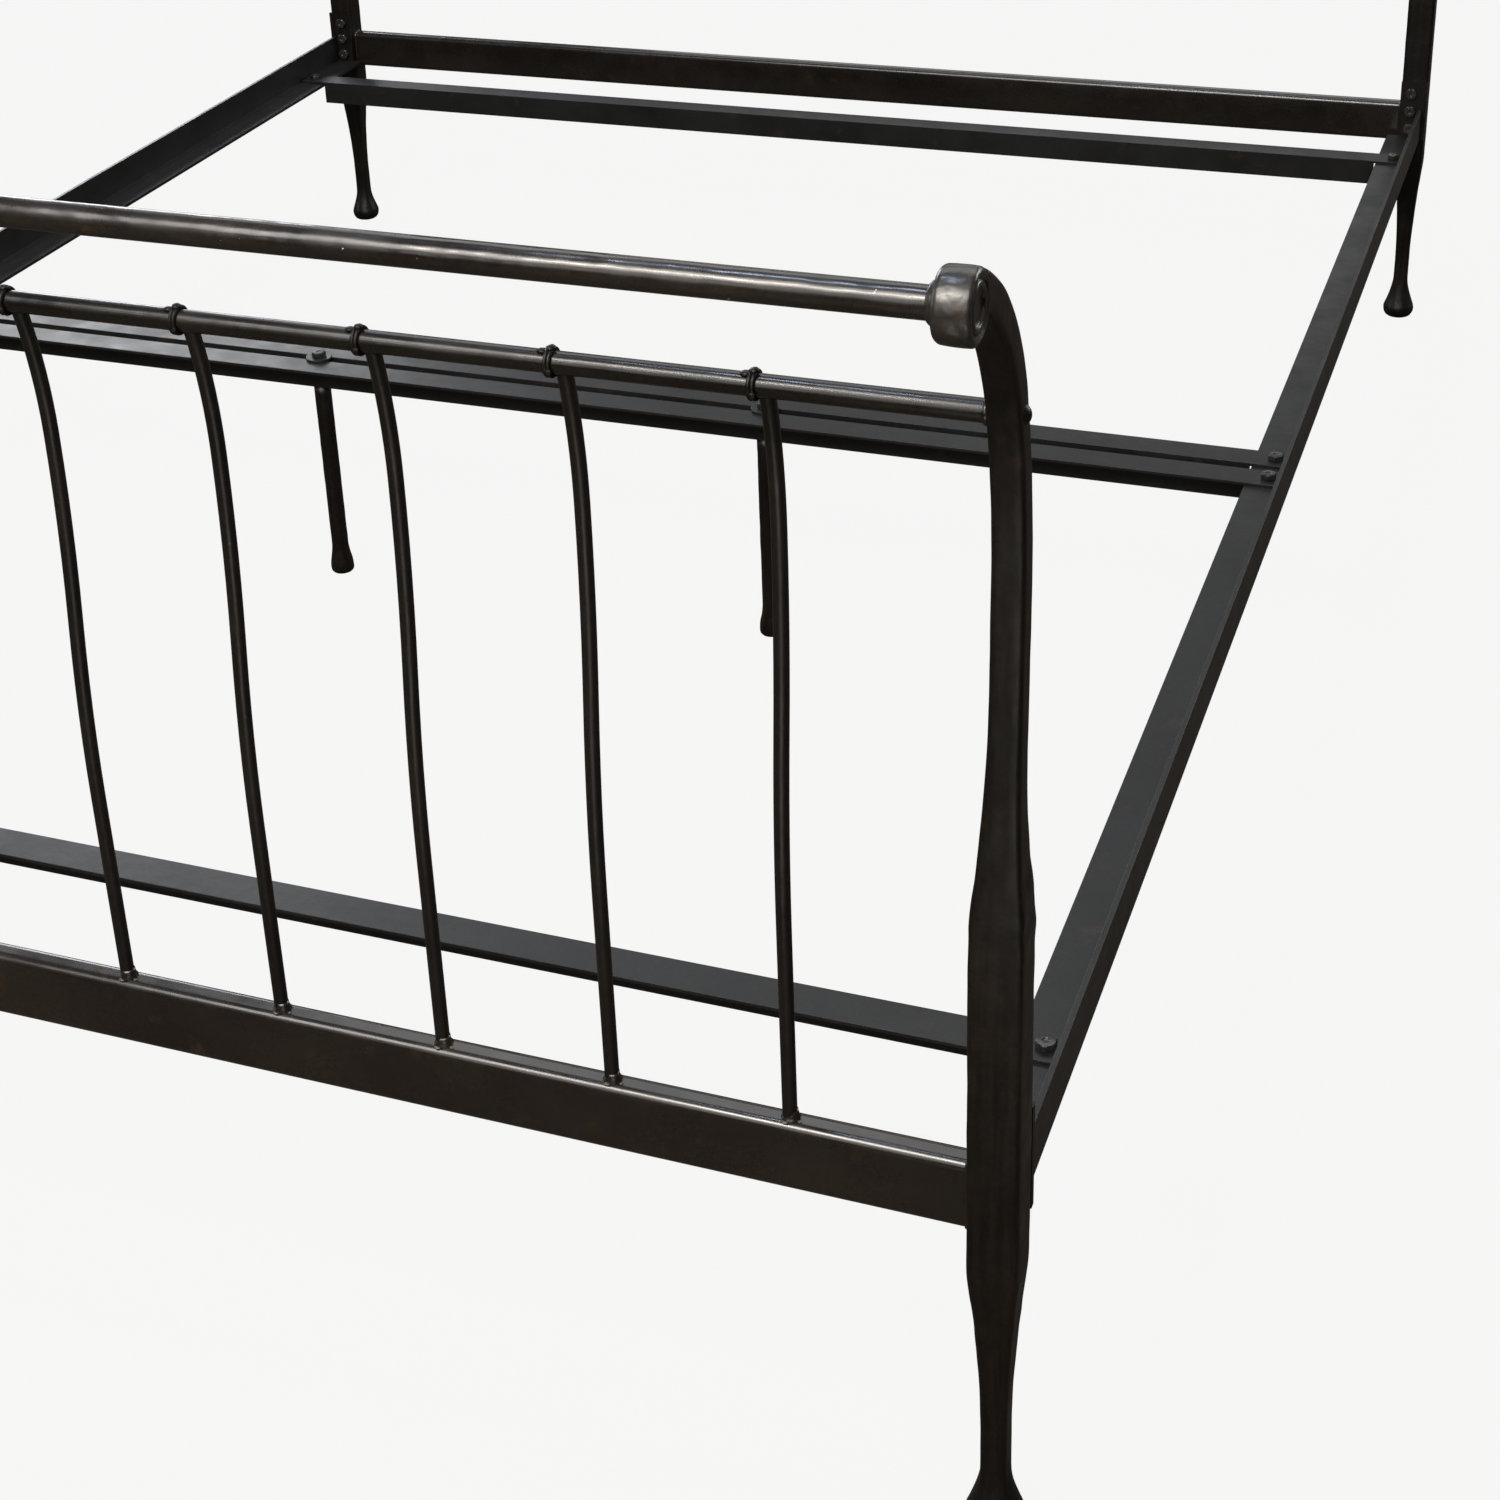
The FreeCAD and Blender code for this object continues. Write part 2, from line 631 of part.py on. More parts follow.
def make_slat(label, middle, leg_side):
    """An angle bar on the ledges; its hanging leg stops short of them at both ends."""
    body = new_body(label)
    sketch = sketch_on(body, "YZ_Plane", label + "_section")
    wide, wall = size("slat_size"), size("slat_wall")
    polygon(sketch, [
        (0, 0, None, None),
        (wide, 0, "<slat_size>", None),
        (wide, wall, "<slat_size>", "<slat_wall>"),
        (wall, wall, "<slat_wall>", "<slat_wall>"),
        (wall, wide, "<slat_wall>", "<slat_size>"),
        (0, wide, None, "<slat_size>"),
    ])
    pad = feature(body, "Pad", label + "_bar", sketch)
    pad.Midplane = True
    bind(pad, "Length", "2 * (<rail_outer> - <angle_wall> - <slat_end_gap>)")
    notches = sketch_on(body, "XZ_Plane", label + "_notches")
    inner = size("rail_outer") - size("angle_size") - size("slat_end_gap")
    outer = size("rail_outer")
    for side in (-1, 1):
        sign = "" if side > 0 else "-"
        near, far = sign + "(<rail_outer> - <angle_size> - <slat_end_gap>)", sign + "<rail_outer>"
        polygon(notches, [
            (side * inner, wall, near, "<slat_wall>"),
            (side * outer, wall, far, "<slat_wall>"),
            (side * outer, 2 * wide, far, "2 * <slat_size>"),
            (side * inner, 2 * wide, near, "2 * <slat_size>"),
        ])
    cut_through(body, label + "_cut_back", notches)
    holes = sketch_on(body, "XY_Plane", label + "_holes")
    for side in (-1, 1):
        sign = "" if side > 0 else "-"
        circle(holes, side * bolt_x(), wide / 2, size("bolt_hole_radius"),
               sign + "(<rail_outer> - <slat_bolt_in>)", "<slat_size> / 2", "<bolt_hole_radius>")
    cut_through(body, label + "_bolt_holes", holes)
    top = size("rail_low") + size("angle_wall") + wall
    upside_down = Rotation(X_AXIS, 180)
    turn = upside_down if leg_side > 0 else HALF_TURN.multiply(upside_down)
    body.Placement = Placement(Vector(0, middle + leg_side * wide / 2, top), turn)
    return node(body, label)


# ---------------------------------------------------------------- bolts, nuts and washers

def hex_piece(name, tall_formula, place):
    """A hexagon of the bolt's size across flats."""
    head = doc.addObject("Part::Prism", name)
    head.Polygon = 6
    bind(head, "Circumradius", "<bolt_head_flats> / 2 / cos(30)")
    bind(head, "Height", tall_formula)
    head.Placement = place
    return head


def bolt(name, seat, turn, shank_formula):
    """A hex bolt: its head stands on seat along the turned +Z, its shank goes the other way."""
    head = hex_piece(name + "_head", "<bolt_head_tall>", Placement())
    shank = doc.addObject("Part::Cylinder", name + "_shank")
    bind(shank, "Radius", "<bolt_radius>")
    bind(shank, "Height", shank_formula)
    bind(shank, "Placement.Base.z", "-(%s)" % shank_formula)
    whole = doc.addObject("Part::Fuse", name)
    whole.Base = head
    whole.Tool = shank
    whole.Placement = Placement(seat, turn)
    return whole


def make_plate_bolts(label):
    """The bolts that hold the end plates to the posts, heads on the bed side."""
    bolts = []
    for x_side in (-1, 1):
        for y_side in (-1, 1):
            seat_y = size("board_spacing") / 2 - size("block_size") / 2 - size("plate_thick")
            turn = Rotation(X_AXIS, 90 * y_side)
            for index in range(PLATE_BOLT_COUNT):
                height = size("plate_bolt_low") + index * size("plate_bolt_pitch")
                seat = Vector(x_side * size("plate_bolt_out"), y_side * seat_y, height)
                name = "%s_%d" % (label, len(bolts) + 1)
                bolts.append(bolt(name, seat, turn, "<plate_thick> + <bolt_depth> - <bolt_end_gap>"))
    return group(label, bolts)


def slat_bolt_spots():
    """X and Y of every bolt that holds a slat down on a ledge."""
    return [(side * bolt_x(), middle) for side in (-1, 1) for _, middle, _, _ in slat_rows()]


def make_slat_bolts(label):
    top = size("rail_low") + size("angle_wall") + size("slat_wall")
    bolts = []
    for index, (x, y) in enumerate(slat_bolt_spots(), start=1):
        bolts.append(bolt("%s_%d" % (label, index), Vector(x, y, top), NO_TURN,
                          "<angle_wall> + <slat_wall> + <nut_bolt_grip>"))
    return group(label, bolts)


def make_slat_nuts(label):
    """The nuts on the slat bolts, under the ledges."""
    nuts = []
    tall = size("nut_tall")
    for index, (x, y) in enumerate(slat_bolt_spots(), start=1):
        name = "%s_%d" % (label, index)
        place = Placement(Vector(x, y, size("rail_low") - tall), NO_TURN)
        block = hex_piece(name + "_block", "<nut_tall>", place)
        bore = doc.addObject("Part::Cylinder", name + "_bore")
        bind(bore, "Radius", "<bolt_hole_radius>")
        bind(bore, "Height", "3 * <nut_tall>")
        bore.Placement = Placement(Vector(x, y, size("rail_low") - 2 * tall), NO_TURN)
        nut = doc.addObject("Part::Cut", name)
        nut.Base = block
        nut.Tool = bore
        nuts.append(nut)
    return group(label, nuts)


# ---------------------------------------------------------------- centre legs

def leg_top():
    """The height of the middle slats' lower edges, where the centre legs start."""
    return size("rail_low") + size("angle_wall") + size("slat_wall") - size("slat_size")


def make_centre_leg(label, x):
    """A round leg under the middle pair of slats, with a flared foot and a tapped top."""
    body = new_body(label)
    sketch = sketch_on(body, "XZ_Plane", label + "_section")
    stem, wide, top = size("leg_radius"), size("leg_foot_radius"), leg_top()
    tall, rim, edge = size("leg_foot_tall"), size("leg_foot_rim"), size("leg_foot_edge")
    hole, depth = size("bolt_hole_radius"), size("leg_hole_deep")
    top_formula = "<rail_low> + <angle_wall> + <slat_wall> - <slat_size>"
    polygon(sketch, [
        (0, 0, None, None),
        (wide - edge, 0, "<leg_foot_radius> - <leg_foot_edge>", None),
        (wide, edge, "<leg_foot_radius>", "<leg_foot_edge>"),
        (wide, rim, "<leg_foot_radius>", "<leg_foot_rim>"),
        (stem, tall, "<leg_radius>", "<leg_foot_tall>"),
        (stem, top, "<leg_radius>", top_formula),
        (hole, top, "<bolt_hole_radius>", top_formula),
        (hole, top - depth, "<bolt_hole_radius>", top_formula + " - <leg_hole_deep>"),
        (0, top - depth, None, top_formula + " - <leg_hole_deep>"),
    ])
    turned = feature(body, "Revolution", label + "_turned", sketch)
    turned.ReferenceAxis = (sketch, ["V_Axis"])
    turned.Angle = 360
    body.Placement = Placement(Vector(x, 0, 0), NO_TURN)
    return node(body, label)


def make_leg_washers(label):
    """The washers that bridge the two middle slats over each centre leg."""
    washers = []
    top = size("rail_low") + size("angle_wall") + size("slat_wall")
    for index, side in enumerate((-1, 1), start=1):
        name = "%s_%d" % (label, index)
        disc = doc.addObject("Part::Cylinder", name + "_disc")
        bind(disc, "Radius", "<washer_radius>")
        bind(disc, "Height", "<washer_thick>")
        disc.Placement = Placement(Vector(side * size("leg_out"), 0, top), NO_TURN)
        bore = doc.addObject("Part::Cylinder", name + "_bore")
        bind(bore, "Radius", "<bolt_hole_radius>")
        bind(bore, "Height", "3 * <washer_thick>")
        bore.Placement = Placement(Vector(side * size("leg_out"), 0, top - size("washer_thick")), NO_TURN)
        washer = doc.addObject("Part::Cut", name)
        washer.Base = disc
        washer.Tool = bore
        washers.append(washer)
    return group(label, washers)


def make_leg_bolts(label):
    """The long bolts that draw the centre legs up against the middle slats."""
    top = size("rail_low") + size("angle_wall") + size("slat_wall") + size("washer_thick")
    bolts = []
    for index, side in enumerate((-1, 1), start=1):
        bolts.append(bolt("%s_%d" % (label, index), Vector(side * size("leg_out"), 0, top), NO_TURN,
                          "<slat_size> + <washer_thick> + <leg_bolt_grip>"))
    return group(label, bolts)


# ---------------------------------------------------------------- the whole bed

def make_board(board):
    """A head or foot board: two posts, their eyes, the rails and the spindles."""
    rise = 0.0 if board == "foot" else size("head_rise")
    out = -1 if board == "foot" else 1
    plane = out * size("board_spacing") / 2
    for x_side, side_name in ((-1, "left"), (1, "right")):
        make_post(board, "%s_post_%s" % (board, side_name), x_side)
        make_eye(board, "%s_eye_%s" % (board, side_name), x_side)
    inward, _, _ = sleigh_point(("rise", size("second_rail_height") - size("curve_start")))
    second_y = plane - out * inward
    make_round_rail(board + "_top_rail", "top_rail_radius", "eye_width",
                    plane + out * size("eye_out"), size("eye_height") + rise)
    make_round_rail(board + "_second_rail", "second_rail_radius", "bar_size",
                    second_y, size("second_rail_height") + rise)
    make_flat_rail(board + "_lower_rail", "flat_rail_tall", "flat_rail_deep", "block_size",
                   plane, size("flat_rail_low") + size("flat_rail_tall") / 2)
    for index, x in enumerate(spindle_positions(), start=1):
        make_spindle(board, "%s_spindle_%02d" % (board, index), x)
    make_ties(board + "_spindle_ties", second_y, size("second_rail_height") + rise)
    make_rivets(board + "_rail_rivets", second_y, size("second_rail_height") + rise)


make_board("foot")
make_board("head")
make_flat_rail("head_middle_rail", "middle_rail_tall", "middle_rail_deep", "bar_size",
               size("board_spacing") / 2,
               size("flat_rail_low") + size("flat_rail_tall") + size("head_rise")
               - size("middle_rail_tall") / 2)
for x_side, x_name in ((-1, "left"), (1, "right")):
    make_side_rail("side_rail_" + x_name, x_side)
    make_centre_leg("centre_leg_" + x_name, x_side * size("leg_out"))
    for y_side, y_name in ((-1, "foot"), (1, "head")):
        make_plate("end_plate_%s_%s" % (y_name, x_name), x_side, y_side)
for slat_name, slat_middle, _, slat_leg in slat_rows():
    make_slat(slat_name, slat_middle, slat_leg)
make_plate_bolts("end_plate_bolts")
make_slat_bolts("slat_bolts")
make_slat_nuts("slat_nuts")
make_leg_washers("centre_leg_washers")
make_leg_bolts("centre_leg_bolts")

doc.recompute()

for item in doc.Objects:
    if "Invalid" in item.State or "Error" in item.State:
        raise RuntimeError("%s failed: %s" % (item.Label, item.State))
os.makedirs("parts", exist_ok=True)
for piece in nodes:
    if piece.Shape.isNull() or not piece.Shape.isValid():
        raise RuntimeError("bad shape: " + piece.Label)
    piece.Shape.exportStep("parts/%s.step" % piece.Label)
    print("%-24s %2d solids %12.1f mm3" % (piece.Label, len(piece.Shape.Solids), piece.Shape.Volume))
print(len(nodes), "nodes")
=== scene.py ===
"""Studio scene for the iron sleigh bed: camera, light, floor, materials and the smith's finer details.

Metres, in the frame of the CAD model: +X right seen from the foot, +Y towards the head, +Z up.
"""

import json
import math
from collections import namedtuple

import bmesh
import bpy
from mathutils import Euler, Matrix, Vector, noise


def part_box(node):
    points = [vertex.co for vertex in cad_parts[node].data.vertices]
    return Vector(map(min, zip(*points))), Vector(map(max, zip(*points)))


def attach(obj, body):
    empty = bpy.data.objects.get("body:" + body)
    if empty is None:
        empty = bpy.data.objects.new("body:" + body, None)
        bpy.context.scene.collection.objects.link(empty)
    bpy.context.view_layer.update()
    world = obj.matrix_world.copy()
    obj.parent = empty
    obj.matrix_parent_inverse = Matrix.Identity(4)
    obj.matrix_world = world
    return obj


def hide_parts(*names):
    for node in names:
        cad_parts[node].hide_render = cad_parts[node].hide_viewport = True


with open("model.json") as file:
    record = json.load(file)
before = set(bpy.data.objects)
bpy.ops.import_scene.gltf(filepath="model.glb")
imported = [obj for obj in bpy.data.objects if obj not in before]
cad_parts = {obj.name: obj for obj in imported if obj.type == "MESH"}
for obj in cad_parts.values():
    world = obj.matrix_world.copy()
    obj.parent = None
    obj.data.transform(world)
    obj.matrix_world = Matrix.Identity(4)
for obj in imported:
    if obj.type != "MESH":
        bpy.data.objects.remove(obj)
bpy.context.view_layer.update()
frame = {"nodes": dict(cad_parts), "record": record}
nodes = frame["nodes"]
BODY = "root"
SIDES = (("left", -1), ("right", 1))
BOARDS = (("foot", -1), ("head", 1))
SPINDLE_NAMES = ["spindle_%02d" % number for number in range(1, 13)]

# ---------------------------------------------------------------- camera

CAMERA_PLACE = (1.0513, -2.1860, 1.3041)
CAMERA_TURN = (64.756, 2.362, 20.615)
CAMERA_LENS = 61.157
CAMERA_SHIFT = (0.0333, -0.1967)
SENSOR_WIDTH = 36.0


def make_camera():
    data = bpy.data.cameras.new("camera")
    data.sensor_width = SENSOR_WIDTH
    data.lens = CAMERA_LENS
    data.shift_x, data.shift_y = CAMERA_SHIFT
    camera = bpy.data.objects.new("camera", data)
    camera.location = CAMERA_PLACE
    camera.rotation_euler = Euler([math.radians(angle) for angle in CAMERA_TURN])
    bpy.context.scene.collection.objects.link(camera)
    bpy.context.scene.camera = camera


# ---------------------------------------------------------------- light and floor

BACKDROP = (0.925, 0.925, 0.921)

# What the paint mirrors of the dim room, by how far up the ray goes: position on the ramp and colour.
ROOM_FLOOR = (0.0, (0.03, 0.03, 0.03))
ROOM_SKIRTING = (0.12, (0.05, 0.05, 0.055))
ROOM_WALL = (0.34, (0.115, 0.115, 0.12))
ROOM_CEILING = (0.75, (0.11, 0.11, 0.14))

FLOOR_SIZE = 80
FLOOR_PAINT = (0.016, 0.016, 0.016)
FLOOR_GLOW = 0.97
FLOOR_MIRRORED = (0.068, 0.058, 0.047)


def seen_or_mirrored(tree, mirrored, seen, out):
    """Sends one shader to the camera's own rays and another to every other ray."""
    ray = tree.nodes.new("ShaderNodeLightPath")
    mix = tree.nodes.new("ShaderNodeMixShader")
    tree.links.new(ray.outputs["Is Camera Ray"], mix.inputs[0])
    tree.links.new(mirrored.outputs[0], mix.inputs[1])
    tree.links.new(seen.outputs[0], mix.inputs[2])
    tree.links.new(mix.outputs[0], out.inputs["Surface"])


def make_world():
    """Pale to the eye, but dim where it is mirrored in the paint, as a large dark room would be."""
    world = bpy.data.worlds.new("studio")
    bpy.context.scene.world = world
    world.use_nodes = True
    tree = world.node_tree
    tree.nodes.clear()
    place = tree.nodes.new("ShaderNodeTexCoord")
    split = tree.nodes.new("ShaderNodeSeparateXYZ")
    ramp = tree.nodes.new("ShaderNodeValToRGB")
    mirrored = tree.nodes.new("ShaderNodeBackground")
    seen = tree.nodes.new("ShaderNodeBackground")
    out = tree.nodes.new("ShaderNodeOutputWorld")
    tree.links.new(place.outputs["Generated"], split.inputs[0])
    tree.links.new(split.outputs["Z"], ramp.inputs[0])
    stops = ramp.color_ramp.elements
    for element, (position, colour) in zip(stops, (ROOM_FLOOR, ROOM_CEILING)):
        element.position = position
        element.color = (*colour, 1)
    for position, colour in (ROOM_SKIRTING, ROOM_WALL):
        stops.new(position).color = (*colour, 1)
    tree.links.new(ramp.outputs[0], mirrored.inputs["Color"])
    seen.inputs["Color"].default_value = (*BACKDROP, 1)
    seen_or_mirrored(tree, mirrored, seen, out)


def make_floor():
    """A plain pale floor that keeps only a faint shadow, and that the paint mirrors as a dim warm one."""
    bpy.ops.mesh.primitive_plane_add(size=FLOOR_SIZE, location=(0, 0, 0))
    floor = bpy.context.object
    floor.name = "floor"
    material = bpy.data.materials.new("floor")
    material.use_nodes = True
    tree = material.node_tree
    tree.nodes.clear()
    paint = tree.nodes.new("ShaderNodeBsdfDiffuse")
    paint.inputs["Color"].default_value = (*FLOOR_PAINT, 1)
    glow = tree.nodes.new("ShaderNodeEmission")
    glow.inputs["Color"].default_value = (*BACKDROP, 1)
    glow.inputs["Strength"].default_value = FLOOR_GLOW
    both = tree.nodes.new("ShaderNodeAddShader")
    dim = tree.nodes.new("ShaderNodeBsdfDiffuse")
    dim.inputs["Color"].default_value = (*FLOOR_MIRRORED, 1)
    out = tree.nodes.new("ShaderNodeOutputMaterial")
    tree.links.new(paint.outputs[0], both.inputs[0])
    tree.links.new(glow.outputs[0], both.inputs[1])
    seen_or_mirrored(tree, dim, both, out)
    floor.data.materials.append(material)


WARM, WARMER, LAMP, CREAM = (1.0, 0.97, 0.93), (1.0, 0.95, 0.88), (1.0, 0.90, 0.78), (1.0, 0.96, 0.90)
WHITE, SUNNY, SKY, BLUE = (1.0, 1.0, 1.0), (1.0, 0.98, 0.95), (0.95, 0.97, 1.0), (0.66, 0.78, 1.0)

# name, place, target, width, depth, power in watts, colour
LIGHTS = (
    ("overhead", (0.2, -2.85, 3.0), (0.0, -0.8, 0.5), 3.8, 1.7, 165, WARM),
    ("front_wall", (0.6, -4.2, 1.9), (0.0, -0.9, 0.6), 4.0, 1.2, 34, WARMER),
    ("lamp", (-0.05, -2.6, 2.6), (0.4, -1.1, 0.5), 0.9, 0.30, 34, LAMP),
    ("window", (-0.12, -0.85, 3.4), (0.2, -1.0, 0.8), 0.26, 0.40, 13, BLUE),
    ("low_bounce", (1.0, -2.25, 0.02), (1.0, -2.2, 1.0), 0.8, 1.1, 6, CREAM),
    ("over_head_end", (0.0, 1.5, 3.2), (0.0, 1.0, 0.4), 3.4, 2.0, 42, WHITE),
    ("back_wall", (0.5, 4.8, 2.0), (0.0, 0.0, 0.5), 5.0, 1.6, 22, WHITE),
    ("behind_right", (3.6, 3.4, 2.2), (0.4, 1.0, 0.6), 2.4, 1.8, 80, SUNNY),
    ("behind_left", (-3.4, 3.6, 2.0), (-0.4, 1.0, 0.6), 2.0, 1.8, 80, SKY),
    ("side_left", (-4.2, -0.8, 1.8), (0.0, 0.0, 0.6), 2.5, 2.0, 40, SKY),
)


def make_light(name, place, target, wide, deep, power, colour):
    data = bpy.data.lights.new(name, "AREA")
    data.shape = "RECTANGLE"
    data.size, data.size_y = wide, deep
    data.energy = power
    data.color = colour
    light = bpy.data.objects.new(name, data)
    light.location = place
    aim = Vector(target) - Vector(place)
    light.rotation_euler = aim.to_track_quat("-Z", "Y").to_euler()
    light.visible_camera = False
    bpy.context.scene.collection.objects.link(light)


# ---------------------------------------------------------------- materials

# Noise in the paint, in the object's own metres, and where on it a colour ramp starts and ends.
Pattern = namedtuple("Pattern", "scale detail rough stretch start end")
CLOUD = Pattern(9.0, 5.0, 0.5, 1.0, 0.34, 0.66)
GRAIN = Pattern(420.0, 2.0, 0.5, 1.0, 0.35, 0.70)
RUST = Pattern(34.0, 6.0, 0.65, 1.0, 0.60, 0.70)
BRUSHED = Pattern(210.0, 3.0, 0.6, 0.06, 0.35, 0.70)
FLECKS_AND_GLINTS = Pattern(150.0, 3.0, 0.7, 1.0, 0.79, 0.825)
GLOSS = Pattern(26.0, 6.0, 0.6, 1.0, 0.30, 0.72)
PEEL = Pattern(650.0, 1.5, 0.5, 1.0, 0.0, 1.0)
DENTED = Pattern(1.0, 2.0, 0.5, 1.0, 0.0, 1.0)

GRAIN_DARK, GRAIN_LIGHT, GRAIN_SHARE = 0.72, 1.28, 0.85
RUST_TINT = (1.7, 1.25, 0.9)
FLECK_AND_GLINT_TINT = (1.0, 0.95, 0.86)
COAT_SMOOTHER = 0.6
PEEL_DEPTH = 0.000012
EDGE_SAMPLES = 4


def grey(value):
    return (value, value, value)


def tinted(colour, tint):
    return tuple(part * share for part, share in zip(colour, tint))


def painted_iron(name, base, warm, roughness, dents, specular,
                 coat=0.0, flecks_and_glints=None, edge=0.0, streak=0.0):
    """Sprayed dark iron: cloudy colour, uneven gloss, orange peel, hammer dents, and wear.

    dents is (scale, depth). The specks' argument is (share of the surface, brightness) for rare bright specks
    in the colour:
    faint ones are flecks in the paint; strong ones, as on the rails and eyes, are painted glints of the
    sheen.
    edge is the width over which sharp edges look rounded. streak is how strong the upright brush marks are.
    """
    material = bpy.data.materials.new(name)
    material.use_nodes = True
    tree = material.node_tree
    shader = tree.nodes["Principled BSDF"]
    place = tree.nodes.new("ShaderNodeTexCoord")

    def mottle(pattern):
        made = tree.nodes.new("ShaderNodeTexNoise")
        made.inputs["Scale"].default_value = pattern.scale
        made.inputs["Detail"].default_value = pattern.detail
        made.inputs["Roughness"].default_value = pattern.rough
        mapped = tree.nodes.new("ShaderNodeMapping")
        mapped.inputs["Scale"].default_value = (1.0, 1.0, pattern.stretch)
        tree.links.new(place.outputs["Object"], mapped.inputs["Vector"])
        tree.links.new(mapped.outputs[0], made.inputs["Vector"])
        return made.outputs["Fac"]

    def ramp(pattern, first, last):
        made = tree.nodes.new("ShaderNodeValToRGB")
        stops = ((pattern.start, first), (pattern.end, last))
        for element, (position, colour) in zip(made.color_ramp.elements, stops):
            element.position = position
            element.color = (*colour, 1)
        tree.links.new(mottle(pattern), made.inputs[0])
        return made.outputs[0]

    def blend(kind, factor, first, second):
        made = tree.nodes.new("ShaderNodeMix")
        made.data_type = "RGBA"
        made.blend_type = kind
        for socket, value in (("Factor", factor), ("A", first), ("B", second)):
            if isinstance(value, bpy.types.NodeSocket):
                tree.links.new(value, made.inputs[socket])
            elif isinstance(value, float):
                made.inputs[socket].default_value = value
            else:
                made.inputs[socket].default_value = (*value, 1)
        return made.outputs["Result"]

    def bump(pattern, depth):
        made = tree.nodes.new("ShaderNodeBump")
        made.inputs["Strength"].default_value = 1.0
        made.inputs["Distance"].default_value = depth
        tree.links.new(mottle(pattern), made.inputs["Height"])
        return made

    colour = ramp(CLOUD, base, warm)
    colour = blend("MULTIPLY", GRAIN_SHARE, colour, ramp(GRAIN, grey(GRAIN_DARK), grey(GRAIN_LIGHT)))
    colour = blend("MIX", ramp(RUST, grey(0), grey(1)), colour, tinted(warm, RUST_TINT))
    if streak:
        colour = blend("MULTIPLY", 1.0, colour, ramp(BRUSHED, grey(1 - streak), grey(1 + streak)))
    # Rare bright specks in the colour: faint ones are flecks in the paint; strong ones, on the rails and
    # eyes, are painted glints of the sheen.
    if flecks_and_glints:
        share, bright = flecks_and_glints
        flecks_and_glints_pattern = FLECKS_AND_GLINTS._replace(start=FLECKS_AND_GLINTS.start - share, end=FLECKS_AND_GLINTS.end - share)
        colour = blend("MIX", ramp(flecks_and_glints_pattern, grey(0), grey(1)), colour, tinted(grey(bright), FLECK_AND_GLINT_TINT))
    tree.links.new(colour, shader.inputs["Base Color"])
    low, high = roughness
    tree.links.new(ramp(GLOSS, grey(low), grey(high)), shader.inputs["Roughness"])
    shader.inputs["Specular IOR Level"].default_value = specular
    shader.inputs["Coat Weight"].default_value = coat
    shader.inputs["Coat Roughness"].default_value = low * COAT_SMOOTHER
    dent_scale, dent_depth = dents
    dent = bump(DENTED._replace(scale=dent_scale), dent_depth)
    if edge:
        rounded = tree.nodes.new("ShaderNodeBevel")
        rounded.samples = EDGE_SAMPLES
        rounded.inputs["Radius"].default_value = edge
        tree.links.new(rounded.outputs[0], dent.inputs["Normal"])
    peel = bump(PEEL, PEEL_DEPTH)
    tree.links.new(dent.outputs[0], peel.inputs["Normal"])
    tree.links.new(peel.outputs[0], shader.inputs["Normal"])
    tree.links.new(peel.outputs[0], shader.inputs["Coat Normal"])
    return material


def dress(names, material):
    """Gives CAD nodes a material."""
    for name in names:
        thing = nodes[name]
        thing.data.materials.clear()
        thing.data.materials.append(material)


# ---------------------------------------------------------------- mesh helpers

X_WAY, Z_WAY = Vector((1, 0, 0)), Vector((0, 0, 1))
QUARTERS = ((1, 1), (-1, 1), (-1, -1), (1, -1))
INSIDE_SHARES = (0.25, 0.5, 0.75)
TURNED_LUMPS = 120
BEAD_LUMPS, BEAD_LUMP_DEPTH = 260, 0.18
BEAD_SIDES = 8
BLOB_TILT, BLOB_ROWS, BLOB_ANGLES = 80, 6, range(0, 360, 30)
BLOB_LUMPS, BLOB_LUMP_SHIFT, BLOB_LUMP_DEPTH = 1.3, 300, 0.25
LOOP_STEPS = 28
LOOP_SPACING = 0.004


def finish_piece(name, points, faces, material):
    """A smooth-shaded piece from points and faces, riding on the bed."""
    mesh = bpy.data.meshes.new(name)
    mesh.from_pydata(points, [], faces)
    work = bmesh.new()
    work.from_mesh(mesh)
    bmesh.ops.recalc_face_normals(work, faces=work.faces)
    for face in work.faces:
        face.smooth = True
    work.to_mesh(mesh)
    work.free()
    mesh.materials.append(material)
    piece = bpy.data.objects.new(name, mesh)
    bpy.context.scene.collection.objects.link(piece)
    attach(piece, BODY)
    return piece


def middle(node):
    low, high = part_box(node)
    return (low + high) / 2


def between(first, second, share):
    return first + (second - first) * share


def arc(first, last, steps):
    """Cosine and sine at even steps from one angle to another, in degrees."""
    angles = [math.radians(between(first, last, step / steps)) for step in range(steps + 1)]
    return [(math.cos(angle), math.sin(angle)) for angle in angles]


def tube_faces(rows, count, closed):
    """Faces between rings of points that follow each other, and from the last to the first if closed."""
    faces = []
    for row in range(rows if closed else rows - 1):
        below = (row + 1) % rows
        for index in range(count):
            after = (index + 1) % count
            faces.append((row * count + index, row * count + after,
                          below * count + after, below * count + index))
    return faces


def skin(rings):
    """Points and faces of a tube through equal rings of points, with closed ends."""
    points = [point for ring in rings for point in ring]
    rows, count = len(rings), len(rings[0])
    faces = tube_faces(rows, count, False)
    faces.append(tuple(range(count)))
    faces.append(tuple(range((rows - 1) * count, rows * count)))
    return points, faces


def join(bundles):
    """One point and face list from several."""
    points, faces = [], []
    for some_points, some_faces in bundles:
        base = len(points)
        points.extend(some_points)
        faces.extend(tuple(base + index for index in face) for face in some_faces)
    return points, faces


